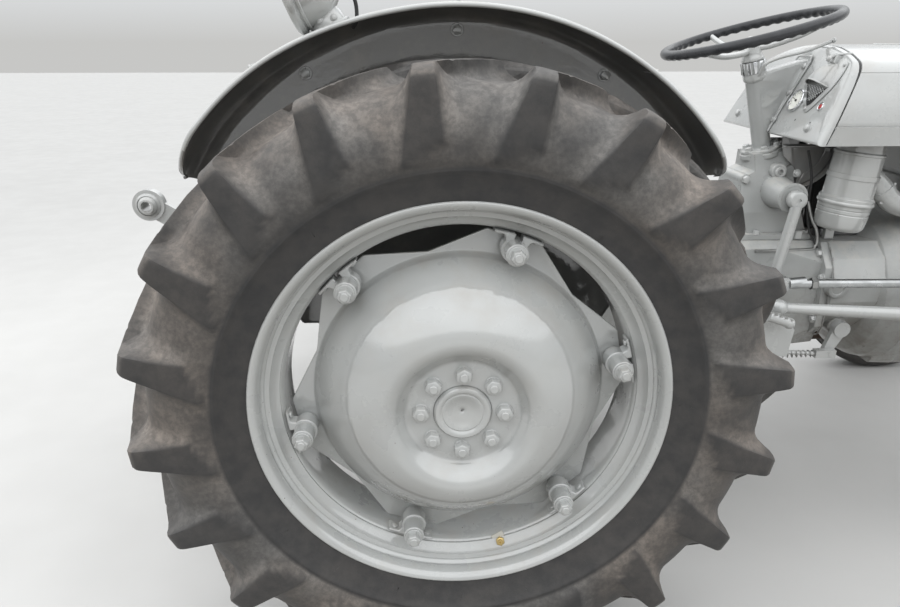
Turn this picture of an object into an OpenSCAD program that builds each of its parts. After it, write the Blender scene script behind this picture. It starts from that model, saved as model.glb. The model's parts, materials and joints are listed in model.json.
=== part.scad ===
// Vintage farm tractor with dished rear wheels, shell mudguards and a tilting bonnet.
// Millimetres, with X forward, Y to the left and Z up from the ground. Each module measures X
// from the rear axle, and in_frame() then sets the whole tractor over the frame's origin.

/* [Layout] */
// Distance between the front and rear axles
wheelbase = 1778; // [1740:1:1820]
// Rear track, from tyre centre to tyre centre
rear_track = 1320; // [1316:1:1360]
// Front track, from tyre centre to tyre centre
front_track = 1220; // [1200:1:1260]

/* [Rear wheel] */
// Radius of the rear tyre over its lugs
rear_r = 603; // [596:1:610]
// Height of the lugs above the carcass
lug_h = 30; // [20:1:34]
// Number of lugs on each side of a rear tyre
lug_n = 20; // [16:1:22]
// Width of the rear tyre across its sidewalls
rear_w = 284; // [270:1:290]
// Outer radius of the rear rim's flanges
rim_r = 384; // [380:1:388]
// Width of the rear rim across its flanges
rim_w = 226; // [220:1:232]
// Thickness of the rear rim
rim_t = 7; // [5:0.5:8]
// Depth of the rear rim's well below its flanges
well_d = 54; // [50:1:56]
// Radius of the dome in the rear disc, at its foot
dome_r = 282; // [276:1:286]
// Thickness of the rear disc
disc_t = 8; // [6:0.5:10]
// How far the disc's flange lies outside the tyre's middle
disc_u = 15; // [12:1:18]
// How far the hub's face lies outside the tyre's middle
hub_u = 114; // [108:1:120]
// Radius of the circle of hub studs
stud_circle_r = 76; // [75:0.5:78]
// Radius of the circle of rim clamps
clamp_r = 302; // [300:1:304]

/* [Front wheel] */
// Radius of the front tyre
front_r = 338; // [330:1:345]
// Width of the front tyre
front_w = 116; // [112:1:122]
// Radius of the front rim's flanges
front_rim_r = 256; // [252:1:260]

/* [Front axle and steering] */
// Distance from the front tyre's middle in to the kingpin
king_in = 118; // [114:1:122]
// Height of the front axle beam's middle above the ground
beam_z = 575; // [565:1:585]
// Radius of the steering wheel, to the middle of its rim
helm_r = 224; // [215:1:232]
// Lean of the steering column from the vertical
column_lean = 15; // [13:0.5:17]
// Length of the drop arms
drop_arm_l = 208; // [200:1:214]
// Length of the steering arms on the kingpins
arm_in = 150; // [146:1:154]

/* [Bonnet and mudguards] */
// Half the bonnet's width
bonnet_hw = 270; // [266:1:274]
// Height of the bonnet's top
bonnet_top = 1228; // [1222:1:1234]
// Height of the bonnet's lower edge
bonnet_low = 999; // [994:1:1004]
// Thickness of the sheet metal
sheet = 4; // [3:0.5:5]
// Gap between the rear tyre's top and the mudguard
guard_gap = 87; // [80:1:95]
// Height of the arch's centre above the rear axle
guard_up = 98; // [92:1:104]
// Width of the mudguard's top
guard_w = 150; // [140:1:156]
// Distance from the tractor's middle to the mudguard's side panel
guard_y = 492; // [486:1:496]

/* [Linkage] */
// Length of a lower link, seen from the side
link_l = 874; // [850:1:890]
// Angle of the raised lower links above the level
link_rest = 34.7; // [34:0.1:35.5]
// Length of a lift arm
lift_arm_l = 240; // [236:1:244]
// Angle of the raised lift arms above the level
lift_rest = 25; // [24:0.1:26]

/* [Hidden] */
$fn = 64;
fit = 0.3;
run = 0.08;
axle_z = rear_r;
front_z = front_r;
well_r = rim_r - well_d;
block_x0 = 1240;
block_x1 = wheelbase - 138;
guard_r = rear_r + guard_gap - guard_up;
pale = [0.62, 0.62, 0.60];
black = [0.10, 0.10, 0.10];
dark = [0.22, 0.22, 0.22];
steel = [0.72, 0.73, 0.74];

// Pivots of the linkage as [x, y, z]
link_pivot = [60, 230, 400];
lift_pivot = [-110, 0, 800];
link_splay = atan(120 / link_l);
eye_r = 34;
// Part of the lower link's length at which the lift rod meets it
rod_at = 0.42;

// Pivots of the steering as [x, y, z]
column_foot = [872, 0, 954];
drop_pivot = [893, 190, 854];
drop_lean = 8;

// Half the model's reach forward and back gives the frame's origin
reach_front = wheelbase + front_r;
reach_rear = link_l * cos(link_rest) - link_pivot[0] + eye_r;
frame_x = (reach_rear - reach_front) / 2;

module in_frame() {
    translate([frame_x, 0, 0]) children();
}

// Sets a left-hand piece on its side: 1 is the left, -1 the right
module side(s) {
    if (s > 0) children();
    else mirror([0, 1, 0]) children();
}

// Turns a shape's own Z to point along +Y
module outward() {
    rotate([-90, 0, 0]) children();
}

// Extrudes an outline drawn as [x, z] from y0 to y1
module across(y0, y1) {
    translate([0, y1, 0]) rotate([90, 0, 0]) linear_extrude(y1 - y0) children();
}

// Extrudes an outline drawn as [y, z] from x0 to x1
module along(x0, x1) {
    translate([x0, 0, 0]) rotate([90, 0, 90]) linear_extrude(x1 - x0) children();
}

// A round bar along Y through [x, z]
module pin(x, z, r, y0, y1) {
    translate([x, y0, z]) outward() cylinder(r = r, h = y1 - y0, $fn = 48);
}

// Copies in a ring about the Y axis, each at radius r
module ring_y(n, r, first = 0) {
    for (i = [0 : n - 1])
        rotate([0, -first - i * 360 / n, 0]) translate([r, 0, 0]) children();
}

// A rod between two points, with a radius at each
module rod(a, b, r, r2 = 0) {
    d = b - a;
    translate(a)
        rotate([0, acos(d[2] / norm(d)), atan2(d[1], d[0])])
            cylinder(r1 = r, r2 = r2 > 0 ? r2 : r, h = norm(d), $fn = 32);
}

// A flat bar's outline with a round end at each of two points
module bar(a, ra, b, rb) {
    d = b - a;
    turn = acos((ra - rb) / norm(d));
    t = atan2(d[1], d[0]);
    translate(a) circle(r = ra);
    translate(b) circle(r = rb);
    polygon([
        a + ra * [cos(t + turn), sin(t + turn)], b + rb * [cos(t + turn), sin(t + turn)],
        b + rb * [cos(t - turn), sin(t - turn)], a + ra * [cos(t - turn), sin(t - turn)]
    ]);
}

// A rectangle with rounded corners, from its low corner
module round_box(w, h, r) {
    translate([r, 0]) square([w - 2 * r, h]);
    translate([0, r]) square([w, h - 2 * r]);
    for (x = [r, w - r], y = [r, h - r]) translate([x, y]) circle(r = r);
}

module hex(af, h) {
    cylinder(r = af / 2 / cos(30), h = h, $fn = 6);
}

function arc(cx, cy, r, a0, a1, n) =
    [for (i = [0 : n]) let (a = a0 + (a1 - a0) * i / n) [cx + r * cos(a), cy + r * sin(a)]];
function flip(points) = [for (i = [len(points) - 1 : -1 : 0]) [points[i][0], -points[i][1]]];
function back(points) = [for (i = [len(points) - 1 : -1 : 0]) points[i]];

// The rear wheels' pieces are drawn about the wheel's middle, with +Y outwards

bead_r = rim_r - 12;
bead_w = rim_w / 2 - 12;

side_u = rear_w / 2;
carcass_r = rear_r - lug_h;
// The first lug's outer end, in degrees from the top toward the front
lug_first = -6.15;

// Half of the carcass's section as [radius, distance from the tyre's middle]
function tyre_half() = [
    [bead_r, bead_w], [bead_r + 40, bead_w + 18], [bead_r + 75, side_u - 5], [bead_r + 98, side_u],
    [bead_r + 130, side_u - 4], [carcass_r - 32, side_u - 20], [carcass_r - 8, side_u - 44],
    [carcass_r, side_u - 90]
];
// The outer line of the lugs, from the sidewall to near the tyre's middle
function lug_half() = [
    [bead_r + 70, bead_w], [bead_r + 80, side_u + 3], [rear_r - 40, side_u + 6], [rear_r - 12, side_u + 1],
    [rear_r - 3, side_u - 14], [rear_r, side_u - 50]
];

// One lug seen from outside the tread, as [along the tread, distance from the tyre's middle]
module lug_plan() {
    polygon([
        [-17, side_u + 20], [17, side_u + 20], [18, side_u - 32], [132, 16], [122, 5], [84, 5],
        [-16, side_u - 44]
    ]);
}

// The lug's end on the sidewall, as [along the tread, radius]
module lug_blade() {
    polygon([[-17, rear_r + 3], [17, rear_r + 3], [16, rear_r - 121], [-35, rear_r - 148], [-46, rear_r - 129]]);
}

module lugs(shift) {
    for (i = [0 : lug_n - 1]) rotate([0, lug_first + (i + shift) * 360 / lug_n, 0]) {
        translate([0, 0, carcass_r - 40]) linear_extrude(100) lug_plan();
        across(side_u - 45, side_u + 20) lug_blade();
    }
}

module lug_room() {
    outward() rotate_extrude() polygon(concat(lug_half(),
        [[rear_r, 0], [carcass_r - 20, 0], [bead_r + 70, side_u - 42]]));
}

module rear_tyre() {
    color(black) {
        outward() rotate_extrude() polygon(concat(tyre_half(), flip(tyre_half())));
        intersection() {
            lug_room();
            lugs(0);
        }
        mirror([0, 1, 0]) intersection() {
            lug_room();
            lugs(0.5);
        }
    }
}

// Half of the rear rim's section, out along its inner face and back along its outer one
function rim_half() = [
    [well_r, 62], [well_r + 10, 70], [well_r + 16, 82], [bead_r - fit - rim_t, bead_w - 15],
    [bead_r - fit - rim_t, bead_w + 4], [bead_r, rim_w / 2], [rim_r, rim_w / 2], [rim_r, rim_w / 2 - 6],
    [bead_r - fit, bead_w + 0.6], [bead_r - fit, bead_w - 22], [well_r + 16 + rim_t, bead_w - 26],
    [well_r + 10 + rim_t, 64], [well_r + rim_t, 58]
];

bracket_u = disc_u + disc_t;
barrel_r = 20;
barrel_l = 72;
// A strap bent round the barrel, seen along the axle with X away from it
module bracket_plan() {
    difference() {
        union() {
            translate([clamp_r, 0]) circle(r = barrel_r);
            translate([clamp_r, -12]) square([well_r - 4 - clamp_r, 24]);
            intersection() {
                difference() {
                    circle(r = well_r + 2);
                    circle(r = well_r - 5);
                }
                translate([clamp_r, -44]) square([60, 88]);
            }
        }
        translate([clamp_r + barrel_r - 4, -7]) square([60, 14]);
    }
}

module rim_bracket() {
    difference() {
        union() {
            across(bracket_u, bracket_u + barrel_l) translate([clamp_r, 0]) circle(r = barrel_r);
            across(bracket_u + 10, bracket_u + 38) bracket_plan();
        }
        across(bracket_u - 1, bracket_u + barrel_l + 1) translate([clamp_r, 0]) circle(r = bolt_r + 0.4);
    }
}
bolt_r = 8;
clamp_n = 6;
clamp_first = 12;

module rear_rim() {
    color(pale) union() {
        outward() rotate_extrude() polygon(concat(rim_half(), flip(rim_half())));
        ring_y(clamp_n, 0, clamp_first) rim_bracket();
    }
}

// The dome's outer face at t = 0 and its inner one at t = disc_t, as [radius, distance out]
crown_u = hub_u + 32;
function dome_line(t) = concat(
    arc(96, hub_u + 14, 14 + t, -90, -30, 5),
    arc(148, crown_u - 36, 36 - t, 150, 80, 7),
    arc(140, crown_u - 128, 128 - t, 76, 14, 9),
    [[dome_r - t, disc_u + disc_t - t]]
);

hub_hole_r = 53;
stud_n = 8;
// The first stud, in degrees from the front toward the top
stud_first = -1;
module rear_disc() {
    color(pale) {
        difference() {
            union() {
                outward() rotate_extrude() polygon(concat(
                    [[hub_hole_r, hub_u]], dome_line(0), back(dome_line(disc_t)), [[hub_hole_r, hub_u - disc_t]]
                ));
                translate([0, disc_u, 0]) outward() linear_extrude(disc_t) difference() {
                    intersection() {
                        rotate(-clamp_first) circle(r = well_r + 14, $fn = 6);
                        circle(r = well_r - 8);
                    }
                    circle(r = dome_r - disc_t - 1);
                }
            }
            ring_y(stud_n, stud_circle_r, stud_first) translate([0, hub_u - 20, 0])
                outward() cylinder(r = stud_r + 0.5, h = 30, $fn = 32);
            ring_y(clamp_n, clamp_r, clamp_first) translate([0, disc_u - 5, 0])
                outward() cylinder(r = bolt_r + 0.4, h = 20, $fn = 32);
        }
        ring_y(clamp_n, clamp_r, clamp_first) rim_bolt();
    }
}

// Bolt that holds a rim bracket to the disc, with its head behind the disc
module rim_bolt() {
    translate([0, disc_u - fit - 10, 0]) outward() hex(24, 10);
    translate([0, disc_u - fit - 1, 0]) outward() cylinder(r = bolt_r, h = barrel_l + disc_t + 26, $fn = 32);
    translate([0, bracket_u + barrel_l + fit, 0]) outward() cylinder(r = 17, h = 3, $fn = 32);
    translate([0, bracket_u + barrel_l + fit + 3, 0]) outward() hex(24, 13);
}

stud_r = 8;
shaft_r = 34;
shaft_in = 150;
drum_r = 180;
drum_u = 30;
// Hub with its cap, studs and nuts, the brake drum and the half shaft
module rear_hub() {
    seat_u = hub_u - disc_t - fit;
    color(pale) {
        outward() rotate_extrude() polygon([
            [0, hub_u - 3], [20, hub_u - 3], [44, hub_u + 8], [50, hub_u + 8], [hub_hole_r - fit, hub_u + 2],
            [hub_hole_r - fit, seat_u], [100, seat_u], [100, seat_u - 22],
            [drum_r - 20, seat_u - 30], [drum_r, seat_u - 36], [drum_r, drum_u], [drum_r - 8, drum_u],
            [drum_r - 8, seat_u - 44], [60, seat_u - 44], [60, drum_u], [shaft_r, drum_u - 4],
            [shaft_r, -shaft_in], [0, -shaft_in]
        ]);
        ring_y(stud_n, stud_circle_r, stud_first) {
            translate([0, seat_u - 5, 0]) outward() cylinder(r = stud_r, h = disc_t + 30, $fn = 32);
            translate([0, hub_u + fit, 0]) outward() hex(27, 14);
        }
    }
}

// The front wheels' pieces are drawn about the wheel's middle, with +Y outwards

front_bead_r = front_rim_r - 10;
front_bead_w = front_w / 2 - 28;
function front_tyre_half() = [
    [front_bead_r, front_bead_w], [front_bead_r + 2, front_bead_w + 6],
    [front_rim_r + 20, front_w / 2 - 4], [front_rim_r + 38, front_w / 2], [front_r - 22, front_w / 2 - 4],
    [front_r - 8, front_w / 2 - 12], [front_r - 2, 24], [front_r - 4, 15], [front_r - 14, 13],
    [front_r - 14, 8], [front_r - 1, 6]
];

module front_tyre() {
    color(black) outward() rotate_extrude() polygon(concat(front_tyre_half(), flip(front_tyre_half())));
}

stub_r = 20;
front_hub_r = 62;
// Pressed rim and disc with the hub that turns on the stub axle
module front_wheel() {
    b = front_bead_r - fit;
    w = front_bead_w;
    outer = [
        [b, w], [b + 2, w + 6.3], [front_rim_r + 1, w + 17], [front_rim_r, w + 19],
        [front_rim_r - 4, w + 15], [b - 6, w + 8], [b - 24, 16]
    ];
    inner = [[b - 18, -12], [b - 18, 12]];
    color(pale) {
        outward() rotate_extrude() polygon(concat(inner, outer, flip(outer)));
        outward() rotate_extrude() polygon([
            [38, 2], [front_hub_r + 14, 2], [140, 20], [b - 50, 18], [b - 23, 2],
            [b - 23, 10], [b - 50, 24], [140, 26], [front_hub_r + 12, 8], [38, 8]
        ]);
        outward() rotate_extrude() polygon([
            [stub_r + run, -60], [40, -60], [44, -20], [front_hub_r + 8, -8], [front_hub_r + 8, 3],
            [40, 5], [36, 48], [30, 56], [0, 58], [0, 52], [stub_r + run, 50]
        ]);
        ring_y(6, front_hub_r - 8, 0) translate([0, 7, 0]) outward() hex(20, 12);
    }
}

// Kingpin with its stub axle and steering arm, drawn about the wheel's middle
king_y = front_track / 2 - king_in;
king_r = 17;
bush_low = beam_z - 85;
bush_high = beam_z + 45;
arm_z = bush_high + 20;
tie_pin_h = 34;
module spindle() {
    color(pale) translate([0, 0, -front_z]) {
        translate([0, 0, front_z]) {
            outward() translate([0, 0, -king_in]) cylinder(r = stub_r, h = king_in + 44);
            outward() translate([0, 0, -king_in + 26]) cylinder(r1 = 30, r2 = 24, h = 26);
        }
        translate([0, -king_in, front_z - 34]) cylinder(r = 28, h = 76);
        translate([0, -king_in, front_z]) cylinder(r = king_r, h = arm_z + 22 - front_z);
        translate([0, -king_in, bush_low - 14]) cylinder(r = 26, h = 13);
        translate([0, 0, arm_z]) difference() {
            linear_extrude(18) bar([0, -king_in], 26, [0, -king_in - arm_in], 17);
            translate([0, -king_in - arm_in, -1]) cylinder(r = 9, h = 20, $fn = 32);
        }
        translate([0, -king_in, bush_high + 1]) cylinder(r = 26, h = arm_z - bush_high);
    }
}

// Pieces fixed to the tractor's body

beam_h = 62;
beam_t = 44;
rod_y = 405;
module front_axle() {
    x = wheelbase;
    color(pale) {
        difference() {
            union() {
                along(x - beam_t / 2, x + beam_t / 2)
                    polygon([[-330, beam_z - 26], [-60, beam_z - 40], [60, beam_z - 40], [330, beam_z - 26],
                        [330, beam_z + 26], [60, beam_z + 38], [-60, beam_z + 38], [-330, beam_z + 26]]);
                translate([x - 34, 0, beam_z]) rotate([0, 90, 0]) cylinder(r = 46, h = 68);
            }
            translate([x - 40, 0, beam_z]) rotate([0, 90, 0]) cylinder(r = 20 + fit, h = 80);
        }
        for (s = [-1, 1]) side(s) {
            difference() {
                union() {
                    along(x - beam_t / 2 - 16 - fit, x - beam_t / 2 - fit)
                        polygon([[150, beam_z - 24], [king_y - 10, beam_z - 24], [king_y - 10, beam_z + 24], [150, beam_z + 24]]);
                    along(x - beam_t / 2 - 1, x + 18)
                        polygon([[350, beam_z - 30], [king_y, beam_z - 34], [king_y, beam_z + 34], [350, beam_z + 30]]);
                    translate([x, king_y, bush_low]) cylinder(r = 31, h = bush_high - bush_low);
                }
                translate([x, king_y, bush_low - 1]) cylinder(r = king_r + run, h = bush_high - bush_low + 2);
            }
        }
    }
}

rod_rear = [865, 235, 582];
module radius_rod() {
    tip = [wheelbase - beam_t / 2 - 24, rod_y, beam_z + 2];
    d = tip - rod_rear;
    color(pale) {
        // Ball and tapered tube, turned about the rod's own line
        translate(rod_rear) rotate([0, acos(d[2] / norm(d)), atan2(d[1], d[0])]) rotate_extrude()
            polygon(concat([[0, -22]], [for (a = [-75 : 15 : 45]) 22 * [cos(a), sin(a)]],
                [[14, 18], [14, 40], [18.5, 380], [19, norm(d)], [0, norm(d)]]));
        // Socket on the gearbox's side
        translate([rod_rear[0] - 30, gearbox_hw, rod_rear[2] - 34]) cube([60, 14, 68]);
        translate([rod_rear[0] - 13, gearbox_hw + 8, rod_rear[2] - 13])
            cube([26, rod_rear[1] - gearbox_hw - 8, 26]);
        // Fork on the axle
        translate([tip[0] - 10, rod_y - 17, tip[2] - 26]) cube([17.4, 34, 52]);
    }
}

support_x0 = wheelbase - 138;
support_x1 = wheelbase + 52;
pivot_gap = 36;
module front_support() {
    x = wheelbase;
    color(pale) {
        difference() {
            union() {
                across(-120, 120) polygon([
                    [support_x0, 640], [support_x1, 640], [support_x1, 655], [support_x1 - 18, 672], [support_x0, 690]
                ]);
                across(-190, 190) polygon([[x - 88, 676], [x + 22, 672], [x + 22, 692], [x - 88, 692]]);
                along(support_x0, support_x0 + 24) polygon([[-120, 560], [120, 560], [150, 690], [-150, 690]]);
                for (dx = [-pivot_gap - 14, pivot_gap])
                    along(x + dx, x + dx + 14) polygon([[-40, beam_z - 40], [40, beam_z - 40], [80, 645], [-80, 645]]);
            }
        }
        translate([x - pivot_gap - 10, 0, beam_z]) rotate([0, 90, 0]) cylinder(r = 20, h = 2 * pivot_gap + 20);
        // Lugs for the bonnet's hinge
        for (y = [-96, 84]) across(y, y + 12) difference() {
            union() {
                translate([hinge_x, hinge_z]) circle(r = 16);
                polygon([
                    [hinge_x - 44, 655], [hinge_x - 12, 655], [hinge_x - 6, hinge_z - 22], [hinge_x + 12, hinge_z - 8],
                    [hinge_x - 16, hinge_z]
                ]);
            }
            translate([hinge_x, hinge_z]) circle(r = 6 + run);
        }
    }
}
hinge_x = wheelbase + 60;
hinge_z = 712;

radiator_x = wheelbase - 84;
radiator_hw = 182;
module radiator() {
    color(dark) {
        translate([radiator_x + 8, -radiator_hw + 7, 739]) cube([70, 2 * radiator_hw - 14, 302]);
        translate([radiator_x, -radiator_hw, 692]) cube([86, 2 * radiator_hw, 48]);
        along(radiator_x, radiator_x + 86)
            translate([-radiator_hw, 1040]) round_box(2 * radiator_hw, 66, 24);
        translate([radiator_x + 43, 0, 1090]) cylinder(r = 26, h = 34);
    }
}

fan_x = block_x1 + 28;
fan_z = 868;
module fan() {
    color(dark) {
        translate([fan_x - 28, 0, fan_z]) rotate([0, 90, 0]) cylinder(r = 42, h = 34);
        for (a = [45 : 90 : 315]) translate([fan_x + 3, 0, fan_z]) rotate([a, 0, 0])
            translate([0, 0, 95]) rotate([0, 0, 20]) cube([3, 78, 150], center = true);
    }
}

block_hw = 96;
sump_hw = 118;
module engine_block() {
    color(pale) {
        translate([block_x0, -block_hw, 600]) cube([block_x1 - block_x0, 2 * block_hw, 290]);
        along(block_x0, block_x1) polygon([
            [-sump_hw, 500], [sump_hw, 500], [sump_hw, 600], [block_hw, 640], [-block_hw, 640], [-sump_hw, 600]
        ]);
        // Sump with rounded ends
        intersection() {
            along(block_x0, block_x1) polygon([
                [-86, 340], [86, 340], [106, 360], [sump_hw, 420], [sump_hw, 510], [-sump_hw, 510],
                [-sump_hw, 420], [-106, 360]
            ]);
            across(-sump_hw - 1, sump_hw + 1) polygon([
                [block_x0, 510], [block_x0, 350], [1310, 344], [1400, 346], [1480, 372], [1530, 420],
                [1545, 480], [block_x1, 490], [block_x1, 510]
            ]);
        }
        // Water pump and fan shaft
        translate([block_x1 - 20, 0, fan_z]) rotate([0, 90, 0]) cylinder(r = 14, h = 20);
        translate([block_x1 - 6, 0, fan_z - 40]) rotate([0, 90, 0]) cylinder(r = 60, h = 6);
        // Carburettor and its flange
        translate([block_x0 + 10, -block_hw - 60, 700]) cube([60, 62, 66]);
        translate([block_x0 + 40, -block_hw - 54, 690]) cylinder(r = 24, h = 96);
    }
}

head_hw = 88;
module cylinder_head() {
    color(pale) {
        translate([block_x0 + 12, -head_hw, 890]) cube([block_x1 - block_x0 - 30, 2 * head_hw, 92]);
        along(block_x0 + 26, block_x1 - 44) translate([-68, 978]) round_box(136, 90, 26);
        for (x = [block_x0 + 110, block_x1 - 130]) translate([x, 0, 1060]) cylinder(r = 12, h = 16);
    }
}

// Exhaust manifold with a port for each cylinder
module manifold() {
    color(dark) {
        along(block_x0 + 30, block_x1 - 50) translate([128, 846]) round_box(52, 52, 20);
        for (i = [0 : 3]) {
            x = block_x0 + 44 + i * (block_x1 - block_x0 - 110) / 4;
            translate([x, head_hw, 898]) cube([46, 66, 38]);
            translate([x, 132, 880]) cube([46, 22, 40]);
        }
    }
}

pipe_x = 1440;
module exhaust() {
    color(dark) {
        rod([pipe_x, 154, 845.5], [pipe_x, 154, 340], 22);
        translate([pipe_x, 154, 340]) sphere(r = 22.5);
        rod([pipe_x, 154, 340], [260, 168, 330], 22);
        rod([760, 158, 336], [460, 164, 333], 48);
    }
}

// Oil-bath air cleaner with its plate and the pipe to the carburettor
cleaner = [1043, -162, 772];
module air_cleaner() {
    color(pale) {
        translate(cleaner) rotate_extrude() polygon([
            [0, 0], [52, 0], [61, 4], [66, 12], [69, 34], [69.5, 43.5], [68.5, 44.5], [68.5, 46.5],
            [69.5, 47.5], [70, 54.5], [69, 55.5], [69, 57.5], [70, 58.5], [71, 66], [74, 69], [74, 76],
            [72, 80], [72, 85], [67, 88], [64.4, 193], [67, 195], [67, 199], [60, 201], [60, 228], [52, 232],
            [0, 232]
        ]);
        translate([cleaner[0] - 13, -104, 728 + fit]) cube([26, 12, 172]);
        translate([cleaner[0] - 22, -118, 728 + fit]) cube([44, 30, 8]);
        // Intake pipe
        rod([cleaner[0] + 45, -158, 908], [1148, -166, 846], 28);
        translate([1148, -166, 846]) sphere(r = 28.6);
        rod([1148, -166, 846], [block_x0 - 20, -166, 824], 28);
        translate([block_x0 - 20, -166, 824]) sphere(r = 28.6);
        rod([block_x0 - 20, -166, 824], [block_x0 + 40, -150, 813], 24);
        translate([block_x0 + 40, -150, 786.3]) cylinder(r = 30, h = 44);
    }
}

module dynamo() {
    color(dark) {
        translate([block_x1 - 220, -172, 700]) rotate([0, 90, 0]) cylinder(r = 50, h = 170);
        for (x = [block_x1 - 205, block_x1 - 90])
            translate([x, -172, 690]) cube([24, 172 - block_hw - fit, 20]);
        translate([block_x1 - 50, -172, 700]) rotate([0, 90, 0]) cylinder(r = 40, h = 20);
    }
}

gearbox_hw = 128;
gearbox_top = 728;
bell_hw = 190;
module gearbox() {
    color(pale) {
        // Gearbox casting, widening toward the bell housing
        intersection() {
            along(170, 1029) polygon([
                [-100, 385], [100, 385], [130, 420], [160, 500], [160, 670], [112, gearbox_top],
                [-112, gearbox_top], [-160, 670], [-160, 500], [-130, 420]
            ]);
            translate([0, 0, 300]) linear_extrude(500) polygon([
                [170, -gearbox_hw], [900, -gearbox_hw], [1029, -160], [1029, 160], [900, gearbox_hw],
                [170, gearbox_hw]
            ]);
            across(-200, 200) polygon([
                [170, 345], [420, 360], [1029, 440], [1029, gearbox_top], [170, gearbox_top]
            ]);
        }
        // Rear joint face and front one
        along(170, 190) polygon([
            [-110, 400], [110, 400], [155, 470], [155, 670], [110, 730], [-110, 730], [-155, 670], [-155, 470]
        ]);
        along(1007, 1029) polygon([
            [-140, 462], [140, 462], [176, 500], [176, 668], [130, gearbox_top], [-130, gearbox_top],
            [-176, 668], [-176, 500]
        ]);
        // Bell housing
        along(1028, block_x0) polygon([
            [-130, 480], [130, 480], [bell_hw - 14, 530], [bell_hw, 575], [bell_hw, 640], [bell_hw - 22, 690],
            [126, gearbox_top], [-126, gearbox_top], [-bell_hw + 22, 690], [-bell_hw, 640], [-bell_hw, 575],
            [-bell_hw + 14, 530]
        ]);
        translate([0, 0, 575]) rotate([0, 90, 0]) rotate_extrude() polygon([
            [0, 1100], [104, 1110], [134, 1128], [176, 1148], [204, 1172], [222, 1205], [230, block_x0],
            [0, block_x0]
        ]);
        for (s = [-1, 1]) side(s) {
            pin(1037, 617, 26, 150, bell_hw + 8);
            pin(1076, 497, 26, 100, 168);
        }
        translate([380, -90, 700]) cube([180, 180, 55]);
    }
}

module rear_housing() {
    color(pale) {
        difference() {
            union() {
                translate([0, -165, axle_z]) outward() cylinder(r = 152, h = 330);
                translate([0, -150, axle_z - 30]) outward() cylinder(r = 168, h = 300);
                along(-60, 170) translate([0, 590]) circle(r = 150);
                translate([-150, -140, 700]) cube([320, 280, 58]);
                translate([link_pivot[0] - 40, -165, 372]) cube([80, 330, 90]);
                translate([-196, -60, 470]) cube([60, 120, 160]);
            }
            translate([0, -200, axle_z]) outward() cylinder(r = 60, h = 120);
        }
        for (s = [-1, 1]) side(s) pin(link_pivot[0], link_pivot[2], 12, 150, 262);
        // Power take-off shaft
        translate([-196 - 62, 0, 540]) rotate([0, 90, 0]) cylinder(r = 14.3, h = 70);
    }
}

backplate_y = rear_track / 2 + drum_u - 14;
module axle_housing() {
    color(pale) difference() {
        outward() rotate_extrude() polygon([
            [0, 165], [155, 165], [155, 183], [122, 186], [96, 222], [82, 400], [76, 460],
            [76, 640], [110, 650], [110, backplate_y], [drum_r + 6, backplate_y], [drum_r + 6, backplate_y + 8],
            [0, backplate_y + 8]
        ]);
        translate([0, rear_track / 2 - shaft_in - 10, 0]) outward() cylinder(r = shaft_r + run, h = 400);
    }
}

lift_r = 25;
module lift_cover() {
    color(pale) difference() {
        union() {
            along(-150, 170) polygon([[-125, 758], [125, 758], [125, 820], [95, 862], [-95, 862], [-125, 820]]);
            pin(lift_pivot[0], lift_pivot[2], 41, -146, 146);
            across(-22, 22) polygon([[-150, 770], [-186, 800], [-186, 850], [-150, 862]]);
        }
        pin(lift_pivot[0], lift_pivot[2], lift_r + run, -160, 160);
        pin(-168, 828, 9.7, -40, 40);
    }
}

// Steering box with its column, which leans back from the box
module lean_column() {
    translate(column_foot) rotate([0, -column_lean, 0]) children();
}
box_hw = 85;
shaft_out = 162;
helm_up = 296;
module steering_box() {
    base = gearbox_top + fit;
    color(pale) {
        intersection() {
            across(-box_hw, box_hw) polygon([
                [826, base], [794, 829], [794, 883], [832, 908], [828, 950], [916, 958], [934, 906], [946, 855],
                [991, base]
            ]);
            along(780, 1000) polygon([
                [-box_hw, base - 1], [box_hw, base - 1], [box_hw, 800], [64, 900], [48, 960], [-48, 960],
                [-64, 900], [-box_hw, 800]
            ]);
        }
        // Base flange, bolted to the gearbox
        translate([776, -104, base]) cube([216, 208, 15]);
        // Boss for the drop arms' shaft, plug boss and the lugs that carry the dash
        translate([drop_pivot[0], 0, drop_pivot[2]]) for (s = [-1, 1]) side(s)
            outward() translate([0, 0, 60]) cylinder(r1 = 46, r2 = 31, h = shaft_out - 60);
        pin(drop_pivot[0], drop_pivot[2], 18, -drop_pivot[1] - 2, drop_pivot[1] + 2);
        pin(890, 908, 21, -74, 40);
        pin(806, 886, 14, -66, 66);
        pin(930, 906, 17, -bracket_y, bracket_y);
        lean_column() {
            translate([0, 0, -34]) cylinder(r = 46, h = 40);
            translate([0, 0, -14]) cylinder(r = 54, h = 16);
            cylinder(r = 24, h = helm_up - 60);
            cylinder(r = 9, h = helm_up - 12);
            translate([0, 0, helm_up - 109]) cylinder(r1 = 25, r2 = 28, h = 6);
            translate([0, 0, helm_up - 104]) cylinder(r = 28, h = 18);
            translate([0, 0, helm_up - 87]) cylinder(r = 31, h = 29);
        }
    }
}

// Steering wheel with three curved spokes, drawn about the column's top
module steering_wheel() {
    color(black) lean_column() translate([0, 0, helm_up]) difference() {
        union() {
            rotate_extrude() translate([helm_r, 22]) circle(r = 13);
            for (a = [89 : 120 : 329]) rotate(a) {
                rod([20, 0, -20], [64, 0, -22], 8);
                translate([64, 0, -22]) sphere(r = 8.4);
                rod([64, 0, -22], [helm_r * 0.62, 0, -9], 7.5);
                translate([helm_r * 0.62, 0, -9]) sphere(r = 7.9);
                rod([helm_r * 0.62, 0, -9], [helm_r, 0, 22], 7.5);
            }
            rotate_extrude() polygon([[0, -57], [30, -57], [30, -44], [25, -40], [25, -2], [22, 2], [0, 2]]);
        }
        translate([0, 0, -60]) cylinder(r = 9 + run, h = 50);
    }
}

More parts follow.
